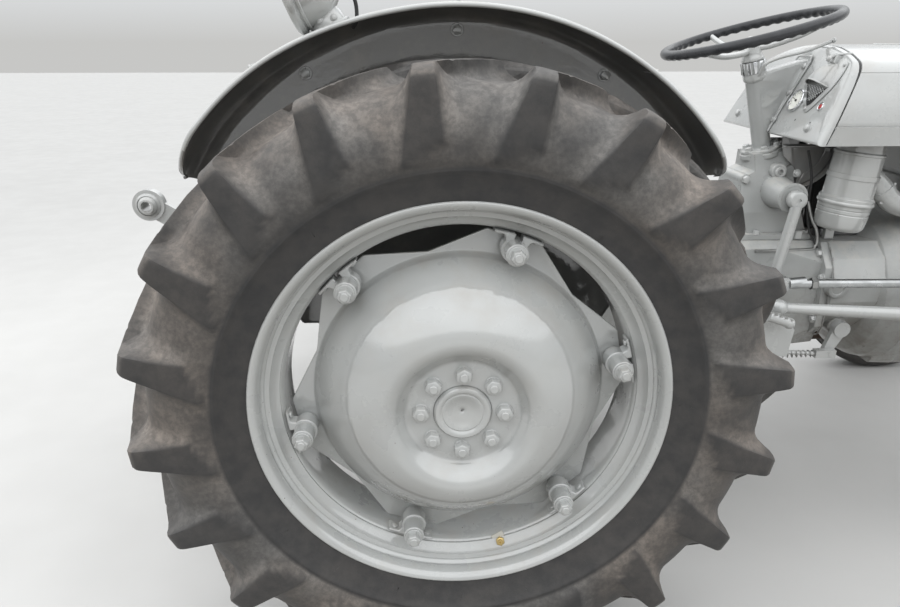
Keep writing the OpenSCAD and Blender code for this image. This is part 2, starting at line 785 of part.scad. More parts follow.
ball_y = 235;
module drop_arm() {
    tip = [drop_pivot[0] - drop_arm_l * sin(drop_lean), drop_pivot[2] - drop_arm_l * cos(drop_lean)];
    y = drop_pivot[1];
    color(pale) difference() {
        union() {
            pin(drop_pivot[0], drop_pivot[2], 29, y - 20, y + 14);
            rod([drop_pivot[0], y, drop_pivot[2]], [tip[0], y, tip[1]], 15, 12.5);
            pin(tip[0], tip[1], 18, y - 13, y + 13);
            pin(tip[0], tip[1], 9, y, ball_y + 14);
        }
        pin(drop_pivot[0], drop_pivot[2], 18 + run, y - 30, y + 20);
    }
}

link_z = drop_pivot[2] - drop_arm_l * cos(drop_lean);
module drag_link() {
    a = [drop_pivot[0] - drop_arm_l * sin(drop_lean), ball_y, link_z];
    b = [wheelbase, king_y - arm_in, arm_z + 18 + fit + 14];
    color(steel) difference() {
        union() {
            pin(a[0], a[2], 19, ball_y - 10, ball_y + 10);
            rod(a + [15, 1, 0], b, 11.5);
            rod(a + [13, 1, 0], a + [56, 0.4, 3.3], 14.5);
            // The link dips by 2 mm as the drop arm passes the vertical
            translate([b[0], b[1], arm_z + 20.6]) cylinder(r = 18, h = 26);
        }
        pin(a[0], a[2], 9 + run, ball_y - 20, ball_y + 20);
    }
}

// The dash panel leans forward along this line, as X against height
dash_lean = 0.45;
function dash_x(z) = 870 + dash_lean * (z - 1009);
dash_deep = 18;
// Gap for the rubber strip between dash and bonnet
strip = 8;

// Half the bonnet's section as [y, z], drawn t inside its outer face
crown_r = 700;
edge_r = 70;
side_lean = 7.3;
function bonnet_half(t, low) =
    let (c = [bonnet_hw - 82, bonnet_top - crown_r + sqrt((crown_r - edge_r) ^ 2 - (bonnet_hw - 82) ^ 2)],
        top = 90 - asin(c[0] / (crown_r - edge_r)))
    concat([[bonnet_hw - t, low], [bonnet_hw - t, 1040]],
        arc(c[0], c[1], edge_r - t, side_lean, top, 8),
        arc(0, bonnet_top - crown_r, crown_r - t, top + (90 - top) / 5, 90, 4));
module bonnet_section(t, low) {
    half = bonnet_half(t, low);
    polygon(concat(half, [for (i = [len(half) - 2 : -1 : 0]) [-half[i][0], half[i][1]]]));
}

// Band in the side view, from a to b ahead of the dash panel's face
module dash_band(a, b) {
    polygon([
        [dash_x(980) + a, 980], [dash_x(980) + b, 980], [dash_x(1260) + b, 1260], [dash_x(1260) + a, 1260]
    ]);
}

bonnet_x0 = dash_x(980) + dash_deep + strip;
bonnet_x1 = wheelbase + 102;
cheek_x = wheelbase - 80;
nose_r = 120;
// Solid within the bonnet's outer face at t = 0 or its inner one at t = sheet
module bonnet_form(t) {
    intersection() {
        along(bonnet_x0 - 10, bonnet_x1 + 1) bonnet_section(t, hinge_z - 14 - t);
        across(-bonnet_hw, bonnet_hw) union() {
            polygon([
                [dash_x(bonnet_low - t) + dash_deep + strip - t, bonnet_low - t],
                [bonnet_x1 - nose_r, bonnet_low - t], [bonnet_x1 - nose_r, 1250],
                [dash_x(1250) + dash_deep + strip - t, 1250]
            ]);
            translate([cheek_x - t, hinge_z - 14 - t])
                square([bonnet_x1 - cheek_x, bonnet_top - nose_r - hinge_z + 14 + t]);
            translate([bonnet_x1 - nose_r, bonnet_top - nose_r]) circle(r = nose_r - t);
        }
        translate([0, 0, hinge_z - 20]) linear_extrude(600) union() {
            translate([bonnet_x0 - 20, -bonnet_hw]) square([bonnet_x1 - 130 - bonnet_x0 + 20, 2 * bonnet_hw]);
            translate([bonnet_x0, -bonnet_hw + 130]) square([bonnet_x1 - t - bonnet_x0, 2 * bonnet_hw - 260]);
            for (s = [-1, 1]) translate([bonnet_x1 - 130, s * (bonnet_hw - 130)]) circle(r = 130 - t);
        }
    }
}

grille_hw = 118;
grille_z0 = 740;
grille_z1 = 1090;
module bonnet() {
    color(pale) {
        difference() {
            bonnet_form(0);
            bonnet_form(sheet);
            translate([bonnet_x1 - 60, -grille_hw, grille_z0]) cube([100, 2 * grille_hw, grille_z1 - grille_z0]);
        }
        // Hinge eyes inside the nose
        for (y = [-112, 100]) across(y, y + 12) bar([hinge_x, hinge_z], 14, [bonnet_x1 - 12, hinge_z + 12], 10);
        for (s = [-1, 1]) side(s) pin(hinge_x, hinge_z, 6, 70, 112);
    }
}

module grille() {
    color(pale) {
        n = 13;
        w = 2 * grille_hw;
        for (z = [grille_z0 + fit, grille_z1 - 16 - fit])
            translate([bonnet_x1 - 14, -grille_hw + fit, z]) cube([12, w - 2 * fit, 16]);
        for (i = [0 : n - 1])
            translate([bonnet_x1 - 12, -grille_hw + fit + i * (w - 8 - 2 * fit) / (n - 1), grille_z0 + 5])
                cube([9, 8, grille_z1 - grille_z0 - 10]);
    }
}

dash_low = 1000;
module dash() {
    color(pale) {
        // Pressed panel with a skirt round it
        difference() {
            intersection() {
                along(850, 1020) bonnet_section(0, dash_low);
                across(-bonnet_hw - 1, bonnet_hw + 1) dash_band(0, dash_deep);
            }
            intersection() {
                along(850, 1020) bonnet_section(sheet, dash_low + sheet);
                across(-bonnet_hw, bonnet_hw) dash_band(sheet * 1.1, dash_deep + 20);
            }
            lean_column() cylinder(r = 24 + fit, h = helm_up - 60);
        }
        // Cowl between the steering column and the panel
        difference() {
            intersection() {
                across(-28, 28) polygon([
                    [868, 996], [dash_x(1016) + 2, 1016], [dash_x(1190) + 2, 1190], [832, 1150], [868, 1010]
                ]);
                translate([780, -28, 980]) cube([200, 56, 240]);
            }
            across(-23, 23) polygon([
                [860, 990], [dash_x(1016) - 1, 1016], [dash_x(1182) - 1, 1182], [838, 1146], [866, 1016], [860, 990]
            ]);
            lean_column() cylinder(r = 24 + fit, h = helm_up - 60);
            lean_column() translate([0, 0, 187]) cylinder(r = 31 + fit, h = 60);
        }
        // Ribbed brackets that stand on the steering box's lugs
        for (s = [-1, 1]) side(s) dash_bracket();
    }
}

bracket_y = 66;
bracket_w = 26;
module dash_bracket() {
    across(bracket_y, bracket_y + 8) polygon(concat(
        [[dash_x(1030) + 3, 1030], [dash_x(1030) + 12, 1030], [908, 978]],
        arc(925, 978, 112, 0, -80, 8), [[946, 890], [932, 918], [898, 948], [890, 978]]));
    across(bracket_y, bracket_y + bracket_w)
        polygon(concat(arc(925, 978, 112, 0, -80, 8), arc(925, 978, 104, -80, 0, 8)));
    across(bracket_y, bracket_y + bracket_w) polygon([[892, 971], [1037, 971], [1037, 979], [892, 979]]);
}

module fuel_tank() {
    color(dark) {
        along(990, 1420) translate([-180, 1096]) round_box(360, 92, 40);
        // Saddles over the rocker cover
        for (x = [block_x0 + 60, block_x0 + 150]) translate([x, -50, 1076.3]) cube([36, 100, 24]);
    }
}

guard_half = 59;
guard_foot = [320, 672];
module mudguard() {
    c = axle_z + guard_up;
    reach = 2 * guard_r;
    color(pale) {
        intersection() {
            translate([0, 0, c]) outward() rotate_extrude() polygon([
                [guard_r - 10, guard_y], [guard_r, guard_y + 10], [guard_r, guard_y + guard_w - 6],
                [guard_r - 10, guard_y + guard_w], [guard_r - 14, guard_y + guard_w - 4],
                [guard_r - sheet, guard_y + guard_w - 10], [guard_r - sheet, guard_y + 10],
                [guard_r - 12, guard_y + sheet], [guard_r - 40, guard_y + sheet], [guard_r - 40, guard_y]
            ]);
            across(guard_y - 10, guard_y + guard_w + 10) polygon([
                [0, c], [reach * sin(guard_half), c + reach * cos(guard_half)], [0, c + reach],
                [-reach * sin(guard_half), c + reach * cos(guard_half)]
            ]);
        }
        across(guard_y, guard_y + sheet) difference() {
            intersection() {
                translate([0, c]) circle(r = guard_r - 12, $fn = 128);
                polygon([
                    [guard_foot[0], guard_foot[1]],
                    [reach * sin(guard_half), c + reach * cos(guard_half)], [0, c + reach],
                    [-reach * sin(guard_half), c + reach * cos(guard_half)], [-guard_foot[0], guard_foot[1]]
                ]);
            }
            translate([0, axle_z]) circle(r = 76 + fit);
        }
    }
}

seat_c = [-190, 0, 1420];
module seat() {
    color(pale) intersection() {
        translate(seat_c) difference() {
            sphere(r = 460);
            sphere(r = 455);
        }
        translate([seat_c[0], 0, 900]) linear_extrude(200) intersection() {
            translate([-210, -225]) round_box(400, 450, 120);
            circle(r = 250);
        }
    }
}

module seat_spring() {
    color(pale) across(-30, 30) polygon([
        [130, 862], [150, 862], [150, 874], [-60, 884], [-168, 951], [-186, 959.6], [-186, 948], [-172, 942], [-68, 874], [130, 866]
    ]);
}

module footrest() {
    color(pale) {
        translate([620, 190, 430]) cube([200, 200, 8]);
        translate([690, gearbox_hw, 404]) cube([80, 110, 26]);
    }
}

// Pedals on a cross-shaft, and the brake's lever, clevis and rod
module pedals() {
    color(pale) {
        for (s = [-1, 1]) side(s) {
            pin(800, 500, 13, gearbox_hw, 300);
            // Foot plate and its rest
            across(292, 298) polygon([[800, 478], [872, 470], [880, 545], [838, 590], [776, 596], [776, 490]]);
            rod([787, 330, 597], [843, 330, 577], 12);
            translate([843, 330, 577]) sphere(r = 14.5);
            pin(790, 590, 10, 296, 332);
            pin(1076, 497, 22, 168 + fit, 196);
            across(176, 190) bar([1076, 497], 20, [1049, 432], 13);
            pin(1049, 432, 8, 174, 212);
            translate([1006, 191, 421]) cube([56, 20, 22]);
            rod([1010, 201, 432], [880, 201, 440], 6);
            rod([884, 201, 440], [800, 201, 500], 6);
        }
    }
}

module gear_lever() {
    color(pale) {
        translate([470, 0, 755]) cylinder(r1 = 45, r2 = 24, h = 50);
        rod([470, 0, 800], [430, 0, 1000], 8);
        translate([430, 0, 1010]) sphere(r = 20);
    }
}

lamp_r = 78;
lamp = [-258, -guard_y - 70, 1318];
lamp_dip = 18;
module work_lamp() {
    arch = [0, -guard_y, axle_z + guard_up];
    color(pale) {
        translate(lamp) rotate([0, -90 - lamp_dip, 0]) rotate_extrude() polygon(concat(
            [[0, 34], [lamp_r - 8, 34], [lamp_r, 32], [lamp_r, 22], [lamp_r - 3, 20]],
            arc(0, 18, lamp_r - 4, 0, -90, 8)));
        difference() {
            translate([lamp[0] + 34, lamp[1], 1180]) rotate_extrude() polygon([
                [0, 0], [30, 0], [30, 84], [26, 98], [17, 108], [10, 112], [10, 130], [0, 130]
            ]);
            translate([0, lamp[1] - 60, axle_z + guard_up]) outward() cylinder(r = guard_r + fit, h = 120, $fn = 128);
        }
    }
}

// Pieces of the linkage

module lift_arms() {
    tip = [-lift_arm_l, 0];
    color(pale) {
        pin(lift_pivot[0], lift_pivot[2], lift_r, -176, 176);
        for (s = [-1, 1]) side(s) translate(lift_pivot) rotate([0, lift_rest, 0]) {
            across(152, 174) bar([0, 0], 42, tip, 20);
            pin(tip[0], 0, 10, 160, 196);
        }
    }
}

function at_angle(l, a) = [-l * cos(a), 0, l * sin(a)];
rod_top = lift_pivot + [0, 186, 0] + at_angle(lift_arm_l, lift_rest);
rod_foot = link_pivot + at_angle(rod_at * link_l, link_rest) + [0, rod_at * 120 - 18, 0];
module lift_rod() {
    color(steel) difference() {
        union() {
            pin(rod_top[0], rod_top[2], 19, rod_top[1] - 9, rod_top[1] + 9);
            rod(rod_top, rod_foot, 11, 8);
            pin(rod_foot[0], rod_foot[2], 18, rod_foot[1] - 10, rod_foot[1] + 5);
        }
        pin(rod_top[0], rod_top[2], 10 + run, 0, 400);
    }
}

module lower_link() {
    color(pale) translate(link_pivot) rotate([0, link_rest, 0]) difference() {
        union() {
            pin(0, 0, 30, -11, 11);
            rotate([0, 0, -link_splay]) across(-8, 8) bar([-10, 0], 24, [-link_l / cos(link_splay) + 20, 0], 22);
            translate([-link_l, 120, 0]) sphere(r = 26);
            pin(-link_l, 0, eye_r, 110, 130);
        }
        pin(0, 0, 12 + run, -40, 40);
        pin(-link_l, 0, 11, 80, 160);
    }
}

module rear_at() {
    translate([0, rear_track / 2, axle_z]) children();
}
module front_at() {
    translate([wheelbase, front_track / 2, front_z]) children();
}

in_frame() side(1) rear_at() rear_tyre();  // rear_tyre_left
in_frame() side(-1) rear_at() rear_tyre();  // rear_tyre_right
in_frame() side(1) rear_at() rear_rim();  // rear_rim_left
in_frame() side(-1) rear_at() rear_rim();  // rear_rim_right
in_frame() side(1) rear_at() rear_disc();  // rear_disc_left
in_frame() side(-1) rear_at() rear_disc();  // rear_disc_right
in_frame() side(1) rear_at() rear_hub();  // rear_hub_left
in_frame() side(-1) rear_at() rear_hub();  // rear_hub_right
in_frame() side(1) front_at() front_tyre();  // front_tyre_left
in_frame() side(-1) front_at() front_tyre();  // front_tyre_right
in_frame() side(1) front_at() front_wheel();  // front_wheel_left
in_frame() side(-1) front_at() front_wheel();  // front_wheel_right
in_frame() side(1) front_at() spindle();  // spindle_left
in_frame() side(-1) front_at() spindle();  // spindle_right
in_frame() side(1) radius_rod();  // radius_rod_left
in_frame() side(-1) radius_rod();  // radius_rod_right
in_frame() side(1) drop_arm();  // drop_arm_left
in_frame() side(-1) drop_arm();  // drop_arm_right
in_frame() side(1) drag_link();  // drag_link_left
in_frame() side(-1) drag_link();  // drag_link_right
in_frame() side(1) mudguard();  // mudguard_left
in_frame() side(-1) mudguard();  // mudguard_right
in_frame() side(1) footrest();  // footrest_left
in_frame() side(-1) footrest();  // footrest_right
in_frame() side(1) lift_rod();  // lift_rod_left
in_frame() side(-1) lift_rod();  // lift_rod_right
in_frame() side(1) lower_link();  // lower_link_left
in_frame() side(-1) lower_link();  // lower_link_right
in_frame() side(1) translate([0, 0, axle_z]) axle_housing();  // axle_housing_left
in_frame() side(-1) translate([0, 0, axle_z]) axle_housing();  // axle_housing_right
in_frame() front_axle();
in_frame() front_support();
in_frame() radiator();
in_frame() fan();
in_frame() engine_block();
in_frame() cylinder_head();
in_frame() manifold();
in_frame() exhaust();
in_frame() air_cleaner();
in_frame() dynamo();
in_frame() gearbox();
in_frame() rear_housing();
in_frame() lift_cover();
in_frame() steering_box();
in_frame() steering_wheel();
in_frame() dash();
in_frame() fuel_tank();
in_frame() bonnet();
in_frame() grille();
in_frame() seat();
in_frame() seat_spring();
in_frame() pedals();
in_frame() gear_lever();
in_frame() work_lamp();
in_frame() lift_arms();
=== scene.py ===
"""Looks of a vintage farm tractor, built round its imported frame.

The frame is in metres, with X forward, Y to the tractor's left and Z up. Lengths here are in
millimetres, with X measured from the rear axle, and place() turns them into the frame's metres.
"""
import json
from math import asin, atan, atan2, cos, degrees, pi, radians, sin, sqrt

import bmesh
import bpy
from mathutils import Matrix, Vector, noise


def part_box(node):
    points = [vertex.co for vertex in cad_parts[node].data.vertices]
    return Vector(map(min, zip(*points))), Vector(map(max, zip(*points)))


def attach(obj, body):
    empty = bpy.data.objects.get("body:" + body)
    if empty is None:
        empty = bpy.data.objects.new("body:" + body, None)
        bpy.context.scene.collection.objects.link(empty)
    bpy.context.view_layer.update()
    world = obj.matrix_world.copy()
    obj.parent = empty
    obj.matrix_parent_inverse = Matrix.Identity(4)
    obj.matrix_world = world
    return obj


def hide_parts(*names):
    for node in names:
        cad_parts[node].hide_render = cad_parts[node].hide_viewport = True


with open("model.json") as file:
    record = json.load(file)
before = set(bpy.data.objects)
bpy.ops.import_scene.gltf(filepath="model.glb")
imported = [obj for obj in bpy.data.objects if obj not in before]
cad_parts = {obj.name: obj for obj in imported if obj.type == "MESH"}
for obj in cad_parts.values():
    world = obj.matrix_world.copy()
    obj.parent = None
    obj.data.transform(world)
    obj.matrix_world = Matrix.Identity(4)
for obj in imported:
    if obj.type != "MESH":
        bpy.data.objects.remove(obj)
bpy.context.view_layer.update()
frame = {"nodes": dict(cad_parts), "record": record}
nodes = frame["nodes"]
scene = bpy.context.scene
scene.view_settings.view_transform = "Standard"

rim_low, rim_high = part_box("rear_rim_right")
AXLE_X = (rim_low.x + rim_high.x) / 2
SIDES = (("left", 1), ("right", -1))


def place(x, y, z):
    return Vector((AXLE_X + x / 1000, y / 1000, z / 1000))


# Camera: a 27.8 mm lens on a 36 mm sensor, beside the right rear wheel and looking down at it

def make_camera():
    data = bpy.data.cameras.new("camera")
    data.sensor_width = 36.0
    data.lens = 27.8
    cam = bpy.data.objects.new("camera", data)
    scene.collection.objects.link(cam)
    eye = Vector((-0.7923, -1.8816, 1.2308))
    yaw = 0.052
    pitch = 0.360
    forward = Vector((sin(yaw) * cos(pitch), cos(yaw) * cos(pitch), -sin(pitch)))
    right = forward.cross(Vector((0, 0, 1))).normalized()
    up = right.cross(forward)
    turn = Matrix((right, up, -forward)).transposed()
    cam.matrix_world = Matrix.Translation(eye) @ turn.to_4x4()
    scene.camera = cam


# Light: a bright overcast sky and three large soft lamps, which throw no reflections of their own

def make_light():
    world = bpy.data.worlds.new("sky")
    scene.world = world
    world.use_nodes = True
    tree = world.node_tree
    coord = tree.nodes.new("ShaderNodeTexCoord")
    split = tree.nodes.new("ShaderNodeSeparateXYZ")
    ramp = tree.nodes.new("ShaderNodeValToRGB")
    tree.links.new(coord.outputs["Generated"], split.inputs[0])
    tree.links.new(split.outputs["Z"], ramp.inputs[0])
    stops = ramp.color_ramp.elements
    stops[0].position = 0.0
    stops[0].color = (0.52, 0.52, 0.51, 1)
    stops[1].position = 1.0
    stops[1].color = (1.58, 1.60, 1.62, 1)
    for level, grey in ((0.05, 0.64), (0.28, 0.70), (0.38, 1.52)):
        stops.new(level).color = (grey * 0.98, grey, grey * 1.01, 1)
    tree.links.new(ramp.outputs[0], tree.nodes["Background"].inputs["Color"])
    tree.nodes["Background"].inputs["Strength"].default_value = 1.1
    aim = Vector((-0.5, -0.6, 0.6))
    lamps = (("key", (-1.6, -2.2, 3.7), 2.4, 30), ("fill", (2.6, -3.2, 2.6), 2.5, 24),
             ("back", (-3.4, 0.8, 2.6), 2.2, 30))
    for name, at, size, power in lamps:
        data = bpy.data.lights.new(name, "AREA")
        data.size = size
        data.energy = power
        lamp = bpy.data.objects.new(name, data)
        scene.collection.objects.link(lamp)
        lamp.location = at
        lamp.visible_glossy = False
        lamp.rotation_euler = (Vector(at) - aim).to_track_quat("Z", "Y").to_euler()


# Materials

class Nodes:
    """A material's node tree, with short calls for the nodes used here."""

    def __init__(self, name):
        self.mat = bpy.data.materials.new(name)
        self.mat.use_nodes = True
        self.tree = self.mat.node_tree
        self.shader = self.tree.nodes["Principled BSDF"]
        self.coord = self.new("ShaderNodeTexCoord").outputs["Object"]
        self.soft = None

    def new(self, kind, **values):
        node = self.tree.nodes.new(kind)
        for key, value in values.items():
            setattr(node, key, value)
        return node

    def link(self, a, b):
        self.tree.links.new(a, b)

    def noise(self, scale, detail=3.0, rough=0.55):
        node = self.new("ShaderNodeTexNoise")
        node.inputs["Scale"].default_value = scale
        node.inputs["Detail"].default_value = detail
        node.inputs["Roughness"].default_value = rough
        self.link(self.coord, node.inputs["Vector"])
        return node.outputs[0]

    def ramp(self, value, low, high, out_low=0.0, out_high=1.0):
        node = self.new("ShaderNodeMapRange", interpolation_type="SMOOTHSTEP")
        for key, number in zip(("From Min", "From Max", "To Min", "To Max"),
                               (low, high, out_low, out_high)):
            node.inputs[key].default_value = number
        self.link(value, node.inputs["Value"])
        return node.outputs[0]

    def mix(self, factor, a, b):
        node = self.new("ShaderNodeMix", data_type="RGBA")
        self.link(factor, node.inputs["Factor"])
        for value, socket in ((a, node.inputs[6]), (b, node.inputs[7])):
            if isinstance(value, tuple):
                socket.default_value = (*value, 1)
            else:
                self.link(value, socket)
        return node.outputs[2]

    def math(self, kind, a, b):
        node = self.new("ShaderNodeMath", operation=kind, use_clamp=kind == "MULTIPLY")
        for value, socket in ((a, node.inputs[0]), (b, node.inputs[1])):
            if isinstance(value, (int, float)):
                socket.default_value = value
            else:
                self.link(value, socket)
        return node.outputs[0]

    def upward(self, low=0.15, high=0.95, least=0.0):
        """1 on faces that look up, falling to the least value on those that look down"""
        normal = self.new("ShaderNodeNewGeometry").outputs["Normal"]
        split = self.new("ShaderNodeSeparateXYZ")
        self.link(normal, split.inputs[0])
        return self.ramp(split.outputs["Z"], low, high, least, 1.0)

    def height(self):
        """Height in the piece's own coordinates, in metres"""
        split = self.new("ShaderNodeSeparateXYZ")
        self.link(self.coord, split.inputs[0])
        return split.outputs["Z"]

    def bump(self, value, strength, distance):
        node = self.new("ShaderNodeBump")
        node.inputs["Strength"].default_value = strength
        node.inputs["Distance"].default_value = distance
        self.link(value, node.inputs["Height"])
        if self.soft:
            self.link(self.soft, node.inputs["Normal"])
        self.link(node.outputs[0], self.shader.inputs["Normal"])

    def edges(self, radius):
        """Rounds the look of sharp edges, and gives 1 along them and 0 elsewhere"""
        bevel = self.new("ShaderNodeBevel", samples=4)
        bevel.inputs["Radius"].default_value = radius
        self.soft = bevel.outputs[0]
        dot = self.new("ShaderNodeVectorMath", operation="DOT_PRODUCT")
        self.link(self.soft, dot.inputs[0])
        self.link(self.new("ShaderNodeNewGeometry").outputs["Normal"], dot.inputs[1])
        return self.ramp(dot.outputs["Value"], 0.995, 0.93)

    def finish(self, colour, rough, metal=0.0, coat=0.0):
        self.link(colour, self.shader.inputs["Base Color"])
        self.link(rough, self.shader.inputs["Roughness"])
        self.shader.inputs["Metallic"].default_value = metal
        self.shader.inputs["Coat Weight"].default_value = coat
        self.shader.inputs["Coat Roughness"].default_value = 0.05
        return self.mat


def enamel(name, colour, gloss=0.22, dust=0.35, grit=0.02):
    """Gloss paint with a faint orange peel, a thin film of dust and small chips"""
    n = Nodes(name)
    dark = tuple(c * 0.90 for c in colour)
    dusty = (0.36, 0.33, 0.29)
    rust = (0.09, 0.05, 0.035)
    cloud = n.ramp(n.noise(5.0, 4.0), 0.35, 0.68)
    base = n.mix(cloud, colour, dark)
    film = n.math("MULTIPLY", n.ramp(n.noise(14.0, 5.0, 0.65), 0.42, 0.75), dust)
    film = n.math("MULTIPLY", film, n.math("ADD", n.upward(), 0.35))
    base = n.mix(film, base, dusty)
    chips = n.ramp(n.noise(160.0, 2.0), 0.765, 0.79)
    base = n.mix(chips, base, rust)
    rough = n.math("ADD", n.ramp(n.noise(9.0, 5.0), 0.3, 0.75, gloss, gloss + 0.14), film)
    n.bump(n.noise(420.0, 2.0), grit * 6, 0.0006)
    peel = n.new("ShaderNodeBump")
    peel.inputs["Strength"].default_value = 0.16
    peel.inputs["Distance"].default_value = 0.0012
    n.link(n.noise(95.0, 2.0), peel.inputs["Height"])
    n.link(peel.outputs[0], n.shader.inputs["Coat Normal"])
    n.shader.inputs["Coat IOR"].default_value = 2.0
    return n.finish(base, rough, coat=0.9)


def casting(name, colour):
    """Enamel over sand-cast iron, with dust on faces that look up and grime low down"""
    n = Nodes(name)
    edge = n.math("MULTIPLY", n.edges(0.004), n.ramp(n.noise(45.0, 4.0, 0.7), 0.45, 0.7))
    cloud = n.ramp(n.noise(7.0, 5.0, 0.6), 0.3, 0.7)
    base = n.mix(cloud, colour, tuple(c * 0.88 for c in colour))
    grime = n.math("MULTIPLY", n.ramp(n.height(), 0.75, 0.36),
                   n.ramp(n.noise(11.0, 5.0, 0.7), 0.36, 0.66, 0.1, 0.8))
    base = n.mix(grime, base, (0.20, 0.18, 0.155))
    film = n.math("MULTIPLY", n.upward(), n.ramp(n.noise(26.0, 5.0, 0.7), 0.40, 0.66, 0.0, 0.6))
    base = n.mix(film, base, (0.50, 0.48, 0.44))
    base = n.mix(edge, base, (0.16, 0.14, 0.12))
    rough = n.math("ADD", n.ramp(n.noise(16.0, 4.0), 0.3, 0.7, 0.26, 0.46), n.math("MULTIPLY", film, 0.4))
    n.bump(n.noise(230.0, 4.0, 0.6), 0.30, 0.0011)
    return n.finish(base, rough, coat=0.4)


def rubber(name):
    """Weathered tyre rubber: grey-brown dust on the flanks, darker where the dust attribute is low, and
    darker on faces that look down, which paints light on the tyre's tops and shade beneath
    """
    n = Nodes(name)
    dust = n.new("ShaderNodeAttribute", attribute_name="dust").outputs["Fac"]
    black = n.mix(n.ramp(n.noise(30.0, 4.0), 0.3, 0.7), (0.021, 0.021, 0.022), (0.038, 0.036, 0.035))
    cloud = n.ramp(n.noise(7.0, 6.0, 0.68), 0.30, 0.66, 0.25, 1.0)
    fine = n.ramp(n.noise(90.0, 5.0, 0.7), 0.35, 0.65, 0.55, 1.0)
    cover = n.math("MULTIPLY", n.math("MULTIPLY", cloud, fine), dust)
    # Faces that look down keep less dust: partly dust, partly painted light from above and painted shade
    # beneath
    cover = n.math("MULTIPLY", cover, n.upward(-0.7, 0.7, 0.32))
    tone = n.mix(n.ramp(n.noise(4.0, 3.0), 0.35, 0.65), (0.285, 0.248, 0.218), (0.235, 0.226, 0.216))
    base = n.mix(cover, black, tone)
    rough = n.ramp(cover, 0.0, 0.8, 0.52, 0.85)
    n.bump(n.noise(60.0, 6.0, 0.75), 0.42, 0.0016)
    return n.finish(base, rough)


def metal(name, colour, rough):
    n = Nodes(name)
    streak = n.noise(40.0, 4.0)
    base = n.mix(n.ramp(streak, 0.3, 0.7), colour, tuple(c * 0.80 for c in colour))
    n.bump(n.noise(300.0, 2.0, 0.5), 0.10, 0.0004)
    return n.finish(base, n.ramp(streak, 0.25, 0.75, rough, rough + 0.14), metal=1.0)


def rusty(name):
    n = Nodes(name)
    cloud = n.ramp(n.noise(18.0, 6.0, 0.7), 0.3, 0.7)
    base = n.mix(cloud, (0.13, 0.075, 0.048), (0.055, 0.042, 0.036))
    n.bump(n.noise(180.0, 5.0, 0.7), 0.4, 0.0012)
    return n.finish(base, n.ramp(n.noise(30.0), 0.3, 0.7, 0.65, 0.9))


def plastic(name, colour, rough, bump=0.1):
    n = Nodes(name)
    base = n.mix(n.ramp(n.noise(25.0, 4.0), 0.35, 0.7), colour, tuple(c * 1.35 + 0.004 for c in colour))
    n.bump(n.noise(260.0, 3.0), bump, 0.0005)
    return n.finish(base, n.ramp(n.noise(12.0, 4.0), 0.3, 0.7, rough, rough + 0.12))


def floor_paint(name):
    """A floor that is pale to the eye and in reflections, and throws little light back up"""
    n = Nodes(name)
    pale = n.mix(n.ramp(n.noise(1.5, 3.0), 0.3, 0.7), (0.47, 0.466, 0.457), (0.45, 0.446, 0.437))
    rays = n.new("ShaderNodeLightPath").outputs
    other = n.math("ADD", rays["Is Glossy Ray"], rays["Is Transmission Ray"])
    seen = n.math("ADD", rays["Is Camera Ray"], other)
    # Multiplying keeps the sum at 1 or less
    seen = n.math("MULTIPLY", seen, 1.0)
    base = n.mix(seen, (0.17, 0.152, 0.125), pale)
    n.bump(n.noise(120.0, 3.0), 0.05, 0.0005)
    return n.finish(base, n.ramp(n.noise(6.0), 0.3, 0.7, 0.55, 0.7))


GREY = (0.42, 0.43, 0.425)
LOOKS = {
    "grey_paint": enamel("grey_paint", GREY),
    "grey_casting": casting("grey_casting", (0.40, 0.41, 0.405)),
    "dark_paint": enamel("dark_paint", (0.035, 0.035, 0.038), 0.35, 0.5),
    "rusty_iron": rusty("rusty_iron"),
    "bright_steel": metal("bright_steel", (0.50, 0.51, 0.51), 0.24),
    "tyre_rubber": rubber("tyre_rubber"),
    "helm_rubber": plastic("helm_rubber", (0.022, 0.023, 0.026), 0.24),
    # guard_shade is a darker grey for the mudguard's faces toward the tyre: dirt, and painted shade inside
    # the mudguard
    "guard_shade": enamel("guard_shade", (0.145, 0.145, 0.141), 0.38, 0.9, 0.05),
    # bracket_shade is a darker grey for the dash brackets: painted shade from the dash panel above them
    "bracket_shade": enamel("bracket_shade", (0.20, 0.20, 0.197), 0.34, 0.8, 0.05),
    "chrome": metal("chrome", (0.78, 0.79, 0.80), 0.06),
    "brass": metal("brass", (0.60, 0.45, 0.20), 0.25),
    "valve_tin": enamel("valve_tin", (0.52, 0.50, 0.44), 0.3, 0.5),
    "bolt_zinc": metal("bolt_zinc", (0.42, 0.42, 0.41), 0.32),
    "black_strip": plastic("black_strip", (0.02, 0.02, 0.02), 0.5, 0.3),
    "dial_face": plastic("dial_face", (0.62, 0.62, 0.58), 0.35),
    "red_lens": plastic("red_lens", (0.30, 0.015, 0.015), 0.12),
    # black_and_shade is black for the gauge's marks, and painted shade behind the scoop's mesh and in the
    # dash's screw holes
    "black_and_shade": plastic("black_and_shade", (0.012, 0.012, 0.012), 0.6),
    "pale_lens": plastic("pale_lens", (0.50, 0.52, 0.53), 0.08),
}


# Shapes, each as a list of corners and a list of faces

def merged(*shapes):
    verts = []
    faces = []
    for v, f in shapes:
        start = len(verts)
        verts += v
        faces += [[i + start for i in face] for face in f]
    return verts, faces


def moved(shape, matrix):
    return [matrix @ Vector(v) for v in shape[0]], shape[1]


def shifted(shape, x, y, z):
    return moved(shape, Matrix.Translation((x, y, z)))


def toward(spot, way, spin=0.0):
    """A matrix that sets a shape's origin at a spot and its Z along a direction"""
    turn = Vector(way).to_track_quat("Z", "X").to_matrix().to_4x4()
    return Matrix.Translation(Vector(spot)) @ turn @ Matrix.Rotation(spin, 4, "Z")


def aimed(shape, spot, way, spin=0.0):
    return moved(shape, toward(spot, way, spin))


def upright(shape):
    """A shape drawn lying in X and Y, stood up in X and Z"""
    return [Vector((v[0], v[2], v[1])) for v in shape[0]], shape[1]


def polar(r, a, h=0.0):
    return Vector((r * cos(a), r * sin(a), h))


